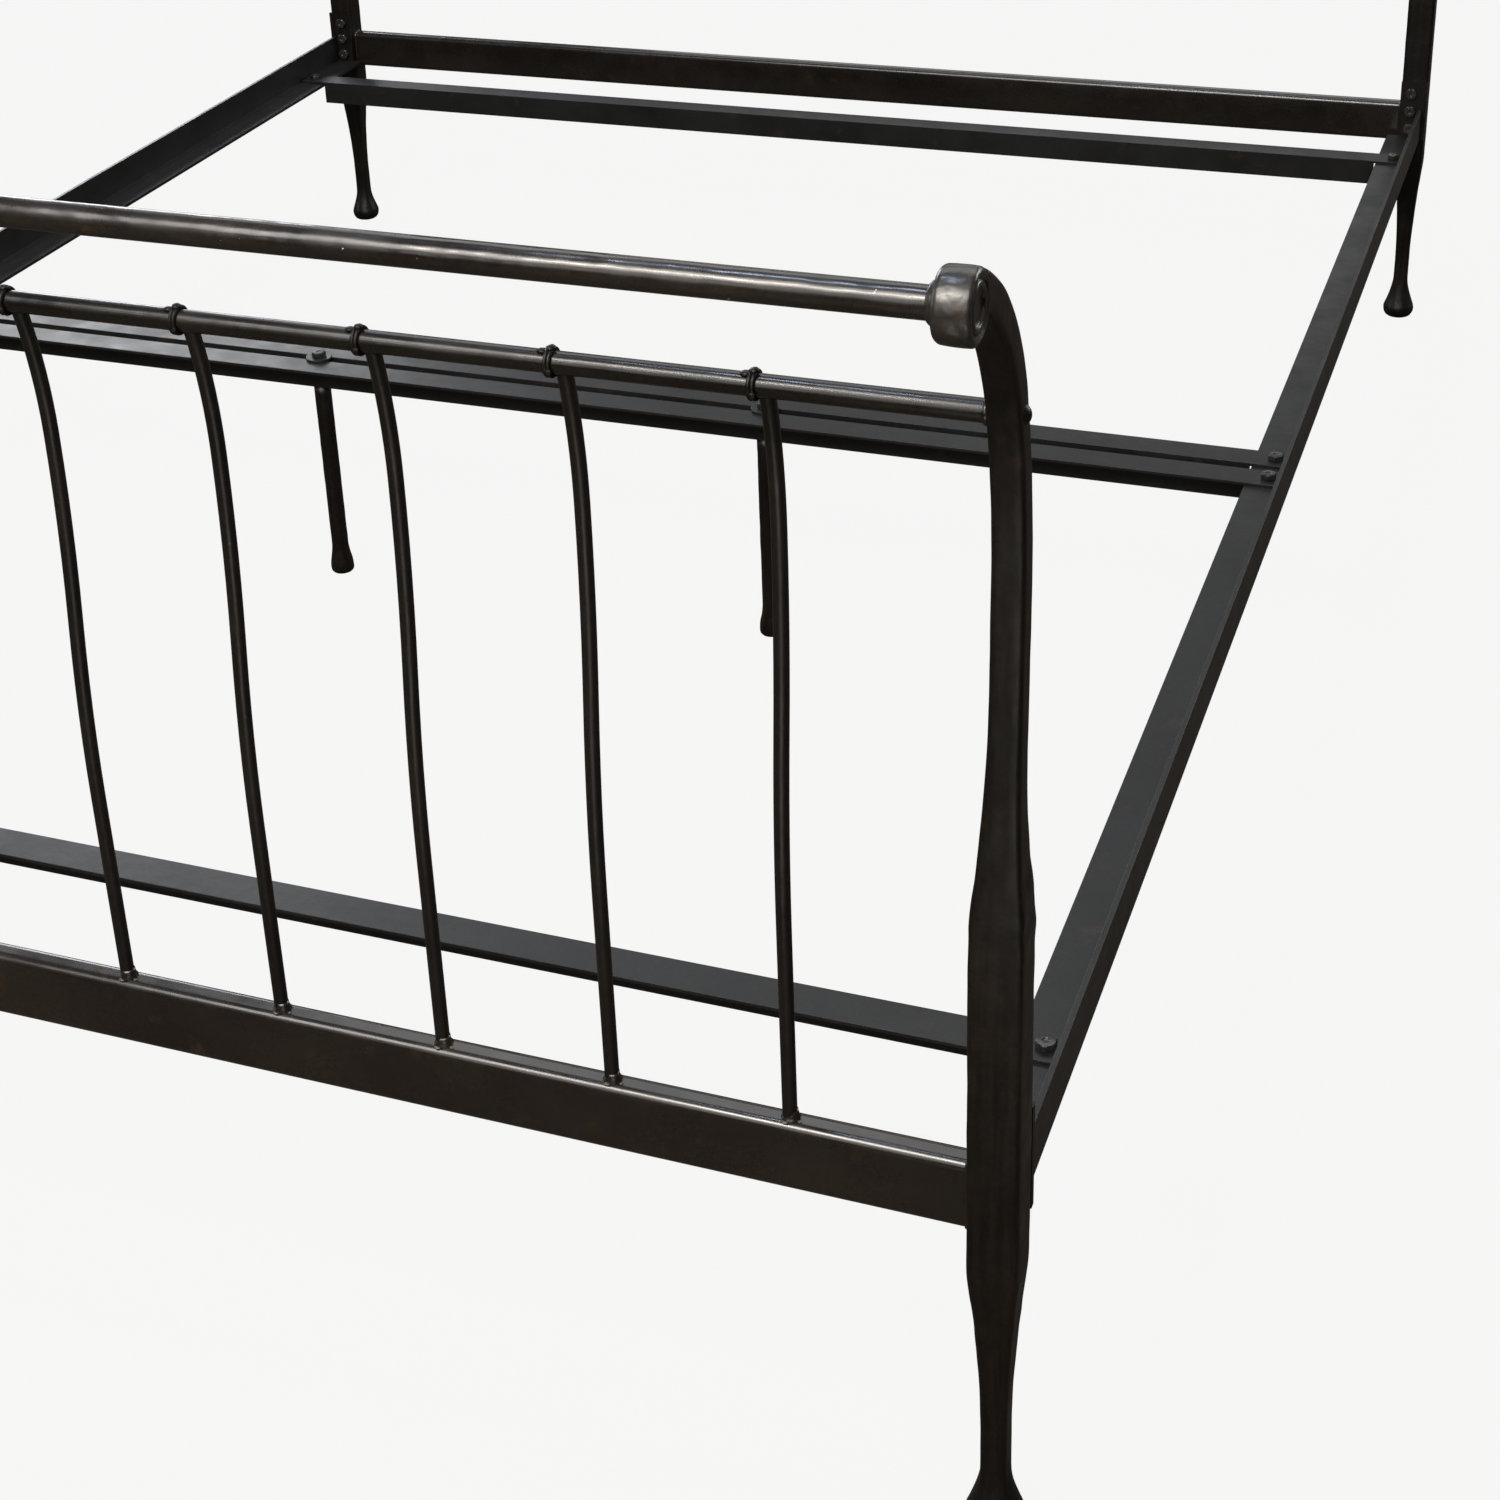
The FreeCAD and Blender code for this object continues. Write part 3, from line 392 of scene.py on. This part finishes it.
def turned(profile, centre, axis, steps, rough=0.0):
    """Points and faces turned about an axis ("x" or "z") from (along, radius) pairs."""
    rings = []
    for along, radius in profile:
        ring = []
        for step in range(steps):
            angle = 2 * math.pi * step / steps
            flat = (radius * math.cos(angle), radius * math.sin(angle))
            offset = Vector((along, *flat)) if axis == "x" else Vector((*flat, along))
            point = centre + offset
            if rough:
                outward = Vector((0, *flat)) if axis == "x" else Vector((*flat, 0))
                point += outward.normalized() * rough * noise.noise(point * TURNED_LUMPS)
            ring.append(point)
        rings.append(ring)
    return skin(rings)


def blob(centre, radii):
    """Points and faces of a lumpy bead."""
    rings = []
    for around, up in arc(-BLOB_TILT, BLOB_TILT, BLOB_ROWS):
        rings.append([blob_point(centre, radii, math.radians(angle), around, up) for angle in BLOB_ANGLES])
    return skin(rings)


def blob_point(centre, radii, turn, around, up):
    shape = Vector((around * math.cos(turn), around * math.sin(turn), up))
    swell = 1 + BLOB_LUMP_DEPTH * noise.noise(shape * BLOB_LUMPS + centre * BLOB_LUMP_SHIFT)
    return centre + Vector([part * radius * swell for part, radius in zip(shape, radii)])


def closed_tube(path, outwards, radius, squash=1.0):
    """Points and faces of a closed bead along a loop in the YZ plane; squash flattens it against the loop."""
    points = []
    for point, outward in zip(path, outwards):
        lump = 1 + BEAD_LUMP_DEPTH * noise.noise(point * BEAD_LUMPS)
        for u, v in arc(0, 360, BEAD_SIDES)[:-1]:
            points.append(point + (outward * u * squash + X_WAY * v) * radius * lump)
    return points, tube_faces(len(path), BEAD_SIDES, True)


def round_loop(centre, radius):
    """A circle in the YZ plane with its outward directions."""
    outwards = [Vector((0, u, v)) for u, v in arc(0, 360, LOOP_STEPS)[:-1]]
    return [centre + outward * radius for outward in outwards], outwards


def box_loop(centre, deep, tall, corner):
    """A round-cornered rectangle in the YZ plane with its outward directions."""
    path, outwards = [], []
    for turn, (side_y, side_z) in enumerate(QUARTERS):
        for u, v in arc(90 * turn, 90 * turn + 90, 4):
            outwards.append(Vector((0, u, v)))
            path.append(centre + Vector((0, side_y * (deep / 2 - corner) + corner * u,
                                         side_z * (tall / 2 - corner) + corner * v)))
    full_path, full_outwards = [], []
    for index, point in enumerate(path):
        after = (index + 1) % len(path)
        steps = max(1, round((path[after] - point).length / LOOP_SPACING))
        for step in range(steps):
            full_path.append(between(point, path[after], step / steps))
            full_outwards.append(between(outwards[index], outwards[after], step / steps).normalized())
    return full_path, full_outwards


# ---------------------------------------------------------------- the sleigh curve

CURVE_START, SWAY, SWAY_RISE = 0.430, 0.013, 0.250
BEND_RADIUS, BEND_RISE, CURL_RADIUS, CURL_END = 0.330, 0.100, 0.150, math.radians(64)
SWAY_RADIUS = (SWAY ** 2 + SWAY_RISE ** 2) / (4 * SWAY)
BEND_LEAN = math.asin(BEND_RISE / BEND_RADIUS)


def sleigh(height):
    """Offset towards the bed and lean, at a height above the curve's start."""
    if height <= 0:
        return 0.0, 0.0
    if height <= SWAY_RISE / 2:
        lean = math.asin(height / SWAY_RADIUS)
        return SWAY_RADIUS * (1 - math.cos(lean)), -lean
    if height <= SWAY_RISE:
        lean = math.asin((SWAY_RISE - height) / SWAY_RADIUS)
        return SWAY - SWAY_RADIUS * (1 - math.cos(lean)), -lean
    lean = math.asin((height - SWAY_RISE) / BEND_RADIUS)
    return SWAY - BEND_RADIUS * (1 - math.cos(lean)), lean


def curl(lean):
    """Offset towards the bed and height above the curve's start, on the last tight arc."""
    inward = SWAY - BEND_RADIUS * (1 - math.cos(BEND_LEAN))
    inward += CURL_RADIUS * (math.cos(lean) - math.cos(BEND_LEAN))
    return inward, SWAY_RISE + BEND_RISE + CURL_RADIUS * (math.sin(lean) - math.sin(BEND_LEAN))


# ---------------------------------------------------------------- forged posts

ANKLE, BLOCK, BAR = 0.017, 0.032, 0.019
ANKLE_TOP, BLOCK_LOW, BLOCK_HIGH, BAR_START = 0.084, 0.212, 0.466, 0.590
LOWER_TAPER_POWER, UPPER_TAPER_POWER = 1.7, 2
FOOT_RADIUS, FOOT_FLARE, FOOT_BELLY = 0.0195, 0.062, 0.0125
FOOT_NECK_SHARE, FOOT_SOLE_SHARE = 0.9, 0.72
CORNER, CORNER_SHARE = 0.0032, 0.17
CORNER_STEPS = 3
MERGE_POWER = 14
SOFT_STEPS = 5
FOOT_SOFT, BAR_SOFT = 0.003, 0.008
FOOT_OVERLAP = 0.004
FOOT_RING_STEP, BAR_RING_STEP, FINE_RINGS_TOP = 0.0015, 0.0045, FOOT_BELLY + 0.003
CURL_STEPS = 24

# The hammer: amplitude and scale of the soft waves, then height, reach and depth of the two marked places.
SOFT_WAVES = ((0.00022, 55), (0.00025, 24))
FLATS_SCALE, FLATS_SHIFT = 70, Vector((3.1, 0.7, 5.3))
MARKED_PLACES = ((BLOCK_HIGH + 0.004, 0.022, 0.0018), (BLOCK_LOW - 0.03, 0.03, 0.0006))


def bar_side(height):
    """The square bar's side at a height: ankle, swell, block, long taper, slim bar."""
    if height < ANKLE_TOP:
        return ANKLE
    if height < BLOCK_LOW:
        risen = (height - ANKLE_TOP) / (BLOCK_LOW - ANKLE_TOP)
        return between(ANKLE, BLOCK, risen ** LOWER_TAPER_POWER)
    if height < BLOCK_HIGH:
        return BLOCK
    if height < BAR_START:
        left = 1 - (height - BLOCK_HIGH) / (BAR_START - BLOCK_HIGH)
        return between(BAR, BLOCK, left ** UPPER_TAPER_POWER)
    return BAR


def foot_round(height):
    """The radius of the round foot at a height."""
    if height > FOOT_FLARE:
        return 0.0
    if height > FOOT_BELLY:
        part = (height - FOOT_BELLY) / (FOOT_FLARE - FOOT_BELLY)
        return between(FOOT_NECK_SHARE * ANKLE / 2, FOOT_RADIUS, (1 - part) ** LOWER_TAPER_POWER)
    part = 1 - height / FOOT_BELLY
    return between(FOOT_SOLE_SHARE * FOOT_RADIUS, FOOT_RADIUS, math.sqrt(max(0.0, 1 - part * part)))


def softened(shape, height, reach):
    """The shape's mean over a short reach, which takes the crispness off its creases."""
    steps = range(-SOFT_STEPS, SOFT_STEPS + 1)
    return sum(shape(max(0.0, height + reach * step / SOFT_STEPS)) for step in steps) / len(steps)


def square_ring(side, corner):
    """Points round a round-cornered square, as (u, v)."""
    flat = side / 2 - corner
    ring = []
    for turn, (side_u, side_v) in enumerate(QUARTERS):
        for u, v in arc(90 * turn, 90 * turn + 90, CORNER_STEPS):
            ring.append((side_u * flat + corner * u, side_v * flat + corner * v))
    whole = []
    for index, point in enumerate(ring):
        whole.append(point)
        if index % (CORNER_STEPS + 1) == CORNER_STEPS:
            after = ring[(index + 1) % len(ring)]
            for share in INSIDE_SHARES:
                whole.append((between(point[0], after[0], share), between(point[1], after[1], share)))
    return whole


def hammered(point, height):
    """How far the smith's hammer moved a point: soft all over, stronger on the shoulder and the swell."""
    soft = sum(depth * noise.noise(point * scale) for depth, scale in SOFT_WAVES)
    flats = noise.noise(point * FLATS_SCALE + FLATS_SHIFT)
    marks = sum(depth * math.exp(-((height - place) / reach) ** 2) for place, reach, depth in MARKED_PLACES)
    return soft + marks * flats


def post_ring(axis, inward_sign, inward, height, lean, side, round_radius):
    """One ring of the bar, across it, at a point of the sleigh curve."""
    along = Vector((0, inward_sign * math.cos(lean), math.sin(lean)))
    centre = axis + Vector((0, inward_sign * inward, height))
    ring = []
    for u, v in square_ring(side, min(CORNER, CORNER_SHARE * side)):
        reach = math.hypot(u, v)
        if round_radius:
            merged = (reach ** MERGE_POWER + round_radius ** MERGE_POWER) ** (1 / MERGE_POWER)
            u, v = u * merged / reach, v * merged / reach
            reach = merged
        outward = (X_WAY * u + along * v) / reach
        point = centre + outward * reach
        ring.append(point + outward * hammered(point, height))
    return ring


def foot_radius_at(height):
    """The foot's radius, softened above the sole, and none above the flare."""
    if height == 0.0:
        return foot_round(0.0)
    return softened(foot_round, height, FOOT_SOFT) if height < FOOT_FLARE + FOOT_OVERLAP else 0.0


def make_post(board, side_name, outward_sign):
    """A forged post in place of the CAD one: the same bar, with soft creases and hammer marks."""
    node = "%s_post_%s" % (board, side_name)
    axis = Vector((middle(node).x, middle(board + "_lower_rail").y, 0.0))
    inward_sign = -outward_sign
    rise = middle(board + "_eye_" + side_name).z - middle("foot_eye_" + side_name).z
    start = CURVE_START + rise
    rings = []
    height = 0.0
    while height < start + SWAY_RISE + BEND_RISE:
        inward, lean = sleigh(height - start)
        side = softened(bar_side, height, BAR_SOFT)
        rings.append(post_ring(axis, inward_sign, inward, height, lean, side, foot_radius_at(height)))
        height += FOOT_RING_STEP if height < FINE_RINGS_TOP else BAR_RING_STEP
    for step in range(CURL_STEPS + 1):
        lean = between(BEND_LEAN, CURL_END, step / CURL_STEPS)
        inward, height = curl(lean)
        rings.append(post_ring(axis, inward_sign, inward, start + height, lean, BAR, 0.0))
    points, faces = skin(rings)
    post = finish_piece(node + "_forged", points, faces, post_paint)
    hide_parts(node)


# ---------------------------------------------------------------- eyes

# How far each point lies beyond the disc's inner face, and how far outside the rail.
EYE_COLLAR = ((0.0045, -0.0010), (0.0042, 0.0010), (0.0030, 0.0021), (0.0014, 0.0022), (0.0002, 0.0028))
EYE_INNER_ROUND, EYE_OUTER_ROUND, EYE_CROWN = 0.0038, 0.0028, 0.0003
EYE_FACE_DEEP = 0.0016
EYE_RING_RADIUS, EYE_RING_TALL, EYE_RING_HALF_WIDE = 0.0112, 0.0015, 0.0019
EYE_DISH_LIP, EYE_DISH_START, EYE_DISH_WIDE = 0.0001, 0.0006, 0.0022
EYE_HUB_DEEP, EYE_HUB_GAP, EYE_HUB, EYE_HUB_TIP = 0.0002, 0.0030, 0.006, 0.003
EYE_ROUGH, EYE_STEPS = 0.00035, 72
ROUND_STEPS, RING_STEPS = 6, 8


def make_eye(board, side_name, side):
    """A forged eye: soft rim, raised ring on its outer face and a collar round the rail's end."""
    node = "%s_eye_%s" % (board, side_name)
    low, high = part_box(node)
    half, radius = (high.x - low.x) / 2, (high.z - low.z) / 2
    rail_low, rail_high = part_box(board + "_top_rail")
    rail = (rail_high.z - rail_low.z) / 2
    inner, outer = EYE_INNER_ROUND, EYE_OUTER_ROUND
    face, ring = half - EYE_FACE_DEEP, EYE_RING_RADIUS
    profile = [(-half - beyond, rail + outside) for beyond, outside in EYE_COLLAR]
    for u, v in arc(180, 90, ROUND_STEPS):
        profile.append((-half + inner + inner * u, radius - inner + inner * v))
    for share in INSIDE_SHARES:
        profile.append((between(-half + inner, half - outer, share),
                        radius + EYE_CROWN * math.sin(math.pi * share)))
    for u, v in arc(90, 0, ROUND_STEPS):
        profile.append((half - outer + outer * u, radius - outer + outer * v))
    profile.append((half - EYE_DISH_LIP, radius - outer - EYE_DISH_START))
    profile.append((face, radius - outer - EYE_DISH_WIDE))
    for v, u in arc(0, 180, RING_STEPS):
        profile.append((face + EYE_RING_TALL * u, ring + EYE_RING_HALF_WIDE * v))
    profile.append((face - EYE_HUB_DEEP, ring - EYE_HUB_GAP))
    profile.append((face - EYE_HUB_DEEP, EYE_HUB))
    profile.append((face, EYE_HUB_TIP))
    profile = [(along * side, around) for along, around in profile]
    points, faces = turned(profile, middle(node), "x", EYE_STEPS, EYE_ROUGH)
    eye = finish_piece(node + "_forged", points, faces, eye_paint)
    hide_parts(node)


# ---------------------------------------------------------------- ties and welds

TIE_OFFSET, TIE_HALF_PITCH, TIE_LIFT, TIE_WIRE = 0.0066, 0.0011, 0.0011, 0.0013

# A tie's knots: place along the rail, then outward and up as (rail radii, metres), then the knot's radii.
TIE_KNOTS = (
    (0.0006, (0, 0.0010), (1, 0.0022), (0.0028, 0.0030, 0.0017)),
    (-0.0042, (0, 0.0020), (1, 0.0006), (0.0030, 0.0028, 0.0013)),
    (0.0010, (1, 0.0010), (0, -0.0030), (0.0022, 0.0016, 0.0024)),
)

# A spindle's fillet as (height, radius), and its spatter as (along, outward, radii).
FILLET = ((-0.0010, 0.0063), (0.0004, 0.0062), (0.0012, 0.0057), (0.0024, 0.0052), (0.0040, 0.0048),
          (0.0062, 0.0046))
FILLET_OFFSET, FILLET_ROUGH, FILLET_STEPS = 0.0006, 0.0007, 20
SPATTER = ((-0.0012, 0.0062, (0.0021, 0.0014, 0.0009)), (0.0072, 0.0030, (0.0014, 0.0012, 0.0007)))
SPATTER_LIFT = 0.0002

WELD_INSET, WELD_RADIUS, WELD_SQUASH, WELD_CORNER = 0.0006, 0.0019, 0.8, 0.006
ROUND_RAIL_SHARE = 0.9


def make_ties(board, outward):
    """Flat wire wraps with twisted ends, in place of the CAD rings."""
    node = board + "_spindle_ties"
    rail_low, rail_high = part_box(board + "_second_rail")
    rail = (rail_low + rail_high) / 2
    radius = (rail_high.z - rail_low.z) / 2
    parts = []
    for name in SPINDLE_NAMES:
        x = middle("%s_%s" % (board, name)).x - TIE_OFFSET
        for shift in (-TIE_HALF_PITCH, TIE_HALF_PITCH):
            path, outwards = round_loop(Vector((x + shift, rail.y, rail.z)), radius + TIE_LIFT)
            parts.append(closed_tube(path, outwards, TIE_WIRE))
        for along, (out_radii, out), (up_radii, up), radii in TIE_KNOTS:
            centre = Vector((x + along, rail.y + outward * (out_radii * radius + out),
                             rail.z + up_radii * radius + up))
            parts.append(blob(centre, radii))
    points, faces = join(parts)
    ties = finish_piece(node + "_wrapped", points, faces, post_paint)
    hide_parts(node)


def make_spindle_welds(board, outward, rail_node):
    """The fillet that each spindle's foot is welded with, and a spatter bead or two in front of it."""
    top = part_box(rail_node)[1].z
    y = middle(rail_node).y
    fillets, beads = [], []
    for name in SPINDLE_NAMES:
        x = middle("%s_%s" % (board, name)).x
        foot = Vector((x + FILLET_OFFSET, y, top))
        fillets.append(turned(FILLET, foot, "z", FILLET_STEPS, FILLET_ROUGH))
        for along, out, radii in SPATTER:
            beads.append(blob(Vector((x + along, y + outward * out, top + SPATTER_LIFT)), radii))
    points, faces = join(fillets)
    finish_piece(board + "_spindle_welds", points, faces, flat_paint)
    points, faces = join(beads)
    finish_piece(board + "_weld_beads", points, faces, bead_paint)


def make_rail_welds(board, rails):
    """The bead round each end of a rail, where it meets the posts."""
    parts = []
    for rail_node in rails:
        low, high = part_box(rail_node)
        deep, tall = high.y - low.y, high.z - low.z
        for end in (low.x, high.x):
            inset = math.copysign(WELD_INSET, end)
            centre = Vector((end - inset, (low.y + high.y) / 2, (low.z + high.z) / 2))
            if deep > ROUND_RAIL_SHARE * tall:
                path, outwards = round_loop(centre, tall / 2)
            else:
                path, outwards = box_loop(centre, deep, tall, WELD_CORNER)
            parts.append(closed_tube(path, outwards, WELD_RADIUS, WELD_SQUASH))
    points, faces = join(parts)
    finish_piece(board + "_rail_welds", points, faces, flat_paint)


# ---------------------------------------------------------------- bolts and centre legs

FLATS, HEAD_TALL, SHANK = 0.013, 0.0053, 0.0039
CORNER_REACH = FLATS / 2 / math.cos(math.radians(30))
PLATE_BOLT_LENGTH = 0.0215
BOLT_STEPS = 36
BOLT_CREASE = math.radians(32)

# The head's outline: height from the seat (True) or from the top (False), share of half the flats, hexagonal.
BOLT_HEAD = ((True, 0.0, 0.97, False), (True, 0.0004, 0.98, False), (True, 0.0005, 1.2, True),
             (False, -0.0011, 1.2, True), (False, -0.0006, 1.10, True), (False, -0.0001, 0.98, False),
             (False, 0.0, 0.90, False), (False, 0.0, 0.42, False), (False, -0.0006, 0.30, False),
             (False, -0.0007, 0.05, False))
SHANK_CHAMFER = 0.0008

LEG_STEM, LEG_ROUGH, LEG_STEPS = 0.009, 0.00035, 40
LEG_SOLE = ((0.0, 0.0030), (0.0005, 0.0014), (0.0018, 0.0004), (0.0040, 0.0))
LEG_FLARE_LOW, LEG_FLARE_TALL, LEG_FLARE_STEPS, LEG_STEM_STEPS = 0.0065, 0.027, 10, 19


def bolt_ring(seat, turn, along, radius, cornered):
    """One ring of a bolt; cornered keeps it inside the hexagon."""
    spot, sixth = FLATS / 2, math.pi / 3
    ring = []
    for step in range(BOLT_STEPS):
        angle = 2 * math.pi * step / BOLT_STEPS
        reach = radius
        if cornered:
            reach = min(radius, spot / math.cos((angle + sixth / 2) % sixth - sixth / 2))
        ring.append(seat + turn @ Vector((reach * math.cos(angle), reach * math.sin(angle), along)))
    return ring


def bolt_shape(seat, direction, length):
    """A hex bolt: washer face, chamfered head with a dimple, and a shank."""
    turn = direction.to_track_quat("Z", "X")
    outline = [(-length, SHANK - SHANK_CHAMFER, False), (-length + SHANK_CHAMFER, SHANK, False),
               (0.0, SHANK, False)]
    for from_seat, height, share, cornered in BOLT_HEAD:
        outline.append((height if from_seat else HEAD_TALL + height, share * FLATS / 2, cornered))
    return skin([bolt_ring(seat, turn, *row) for row in outline])


def place_bolts(node, parts, paint):
    points, faces = join(parts)
    bolts = finish_piece(node + "_detailed", points, faces, paint)
    bolts.data.set_sharp_from_angle(angle=BOLT_CREASE)
    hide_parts(node)


def make_slat_bolts():
    low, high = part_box("slat_bolts")
    parts = []
    for slat in ("foot_slat", "middle_slat_front", "middle_slat_rear", "head_slat"):
        slat_low, slat_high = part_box(slat)
        for side in (-1, 1):
            seat = Vector((side * (high.x - CORNER_REACH), (slat_low.y + slat_high.y) / 2, slat_high.z))
            parts.append(bolt_shape(seat, Z_WAY, seat.z - low.z))
    place_bolts("slat_bolts", parts, bolt_paint)


def make_end_plate_bolts():
    low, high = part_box("end_plate_bolts")
    parts = []
    for board, outward in BOARDS:
        for side_name, side in SIDES:
            plate_low, plate_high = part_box("end_plate_%s_%s" % (board, side_name))
            face = plate_high.y if outward < 0 else plate_low.y
            for share in (0.0, 0.5, 1.0):
                height = between(low.z + FLATS / 2, high.z - FLATS / 2, share)
                seat = Vector((side * (high.x - CORNER_REACH), face, height))
                parts.append(bolt_shape(seat, Vector((0, -outward, 0)), PLATE_BOLT_LENGTH))
    place_bolts("end_plate_bolts", parts, bolt_paint)


def make_centre_leg_bolts():
    low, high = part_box("centre_leg_bolts")
    washer_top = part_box("centre_leg_washers")[1].z
    parts = []
    for side in (-1, 1):
        seat = Vector((side * (high.x - CORNER_REACH), (low.y + high.y) / 2, washer_top))
        parts.append(bolt_shape(seat, Z_WAY, washer_top - low.z))
    place_bolts("centre_leg_bolts", parts, angle_paint)


def make_centre_leg(side_name):
    """A turned leg with a smoothly flared foot, in place of the CAD one."""
    node = "centre_leg_" + side_name
    low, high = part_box(node)
    foot = (high.x - low.x) / 2
    profile = [(height, foot - inset) for height, inset in LEG_SOLE]
    for step in range(LEG_FLARE_STEPS + 1):
        part = step / LEG_FLARE_STEPS
        ease = part * part * (3 - 2 * part)
        profile.append((LEG_FLARE_LOW + LEG_FLARE_TALL * part, between(foot, LEG_STEM, ease)))
    flare_top = LEG_FLARE_LOW + LEG_FLARE_TALL
    for step in range(1, LEG_STEM_STEPS + 1):
        profile.append((between(flare_top, high.z, step / LEG_STEM_STEPS), LEG_STEM))
    axis = Vector(((low.x + high.x) / 2, (low.y + high.y) / 2, 0))
    points, faces = turned(profile, axis, "z", LEG_STEPS, LEG_ROUGH)
    leg = finish_piece(node + "_turned", points, faces, post_paint)
    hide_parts(node)


# ---------------------------------------------------------------- the scene

make_camera()
make_world()
make_floor()
for light in LIGHTS:
    make_light(*light)

post_paint = painted_iron("post_paint", (0.0030, 0.0023, 0.0017), (0.0064, 0.0047, 0.0032),
                          (0.32, 0.50), (38.0, 0.0012), 0.25, flecks_and_glints=(0.015, 0.05), streak=0.45)
rod_paint = painted_iron("rod_paint", (0.0022, 0.0017, 0.0013), (0.0060, 0.0046, 0.0034),
                         (0.28, 0.44), (60.0, 0.0005), 0.40, flecks_and_glints=(0.03, 0.10))
# The rail and eye paints carry strong bright specks, which are painted glints of their sheen.
rail_paint = painted_iron("rail_paint", (0.0040, 0.0030, 0.0023), (0.0130, 0.0100, 0.0078),
                          (0.15, 0.40), (24.0, 0.0024), 0.5, coat=0.12, flecks_and_glints=(0.065, 0.36))
# The second rails' copy of the rail paint, darker and with dimmer specks, is painted shade: the second rail
# sits lower and catches less light than the top rail.
shaded_second_rail_paint = painted_iron("shaded_second_rail_paint", (0.0030, 0.0024, 0.0018), (0.0085, 0.0066, 0.0050),
                            (0.20, 0.36), (24.0, 0.0012), 0.45, coat=0.08, flecks_and_glints=(0.035, 0.20))
flat_paint = painted_iron("flat_paint", (0.0042, 0.0032, 0.0024), (0.0095, 0.0072, 0.0052),
                          (0.19, 0.36), (16.0, 0.0008), 0.5, coat=0.30, flecks_and_glints=(0.02, 0.12))
eye_paint = painted_iron("eye_paint", (0.0045, 0.0040, 0.0036), (0.0150, 0.0130, 0.0110),
                         (0.27, 0.42), (85.0, 0.0010), 0.45, coat=0.12, flecks_and_glints=(0.065, 0.36))
angle_paint = painted_iron("angle_paint", (0.0046, 0.0050, 0.0052), (0.0088, 0.0095, 0.0098),
                           (0.36, 0.50), (90.0, 0.0002), 0.34, flecks_and_glints=(0.01, 0.06), edge=0.0009)
bolt_paint = painted_iron("bolt_paint", (0.008, 0.0077, 0.0074), (0.021, 0.020, 0.019),
                          (0.18, 0.32), (200.0, 0.0001), 0.5, edge=0.0004)
bead_paint = painted_iron("bead_paint", (0.030, 0.026, 0.020), (0.075, 0.064, 0.048),
                          (0.30, 0.45), (300.0, 0.0002), 0.5)

by_slot = {"board_paint": post_paint, "rail_paint": rail_paint,
           "angle_paint": angle_paint, "bolt_steel": bolt_paint}
for part in frame["record"]["subparts"]:
    dress([part["node"]], by_slot[part["material_slot"]])
dress([board + "_lower_rail" for board, _ in BOARDS] + ["head_middle_rail"], flat_paint)
dress(["%s_%s" % (board, name) for board, _ in BOARDS for name in SPINDLE_NAMES], rod_paint)
dress([board + "_second_rail" for board, _ in BOARDS], shaded_second_rail_paint)
dress(["centre_leg_washers"], angle_paint)

for board, outward in BOARDS:
    for side_name, side in SIDES:
        make_post(board, side_name, outward)
        make_eye(board, side_name, side)
    make_ties(board, outward)
make_spindle_welds("foot", -1, "foot_lower_rail")
make_spindle_welds("head", 1, "head_middle_rail")
make_rail_welds("foot", ["foot_lower_rail", "foot_second_rail"])
make_rail_welds("head", ["head_lower_rail", "head_middle_rail", "head_second_rail"])
make_slat_bolts()
make_end_plate_bolts()
make_centre_leg_bolts()
for side_name, _ in SIDES:
    make_centre_leg(side_name)

scene = bpy.context.scene
scene.view_settings.view_transform = "Standard"
scene.view_settings.look = "None"
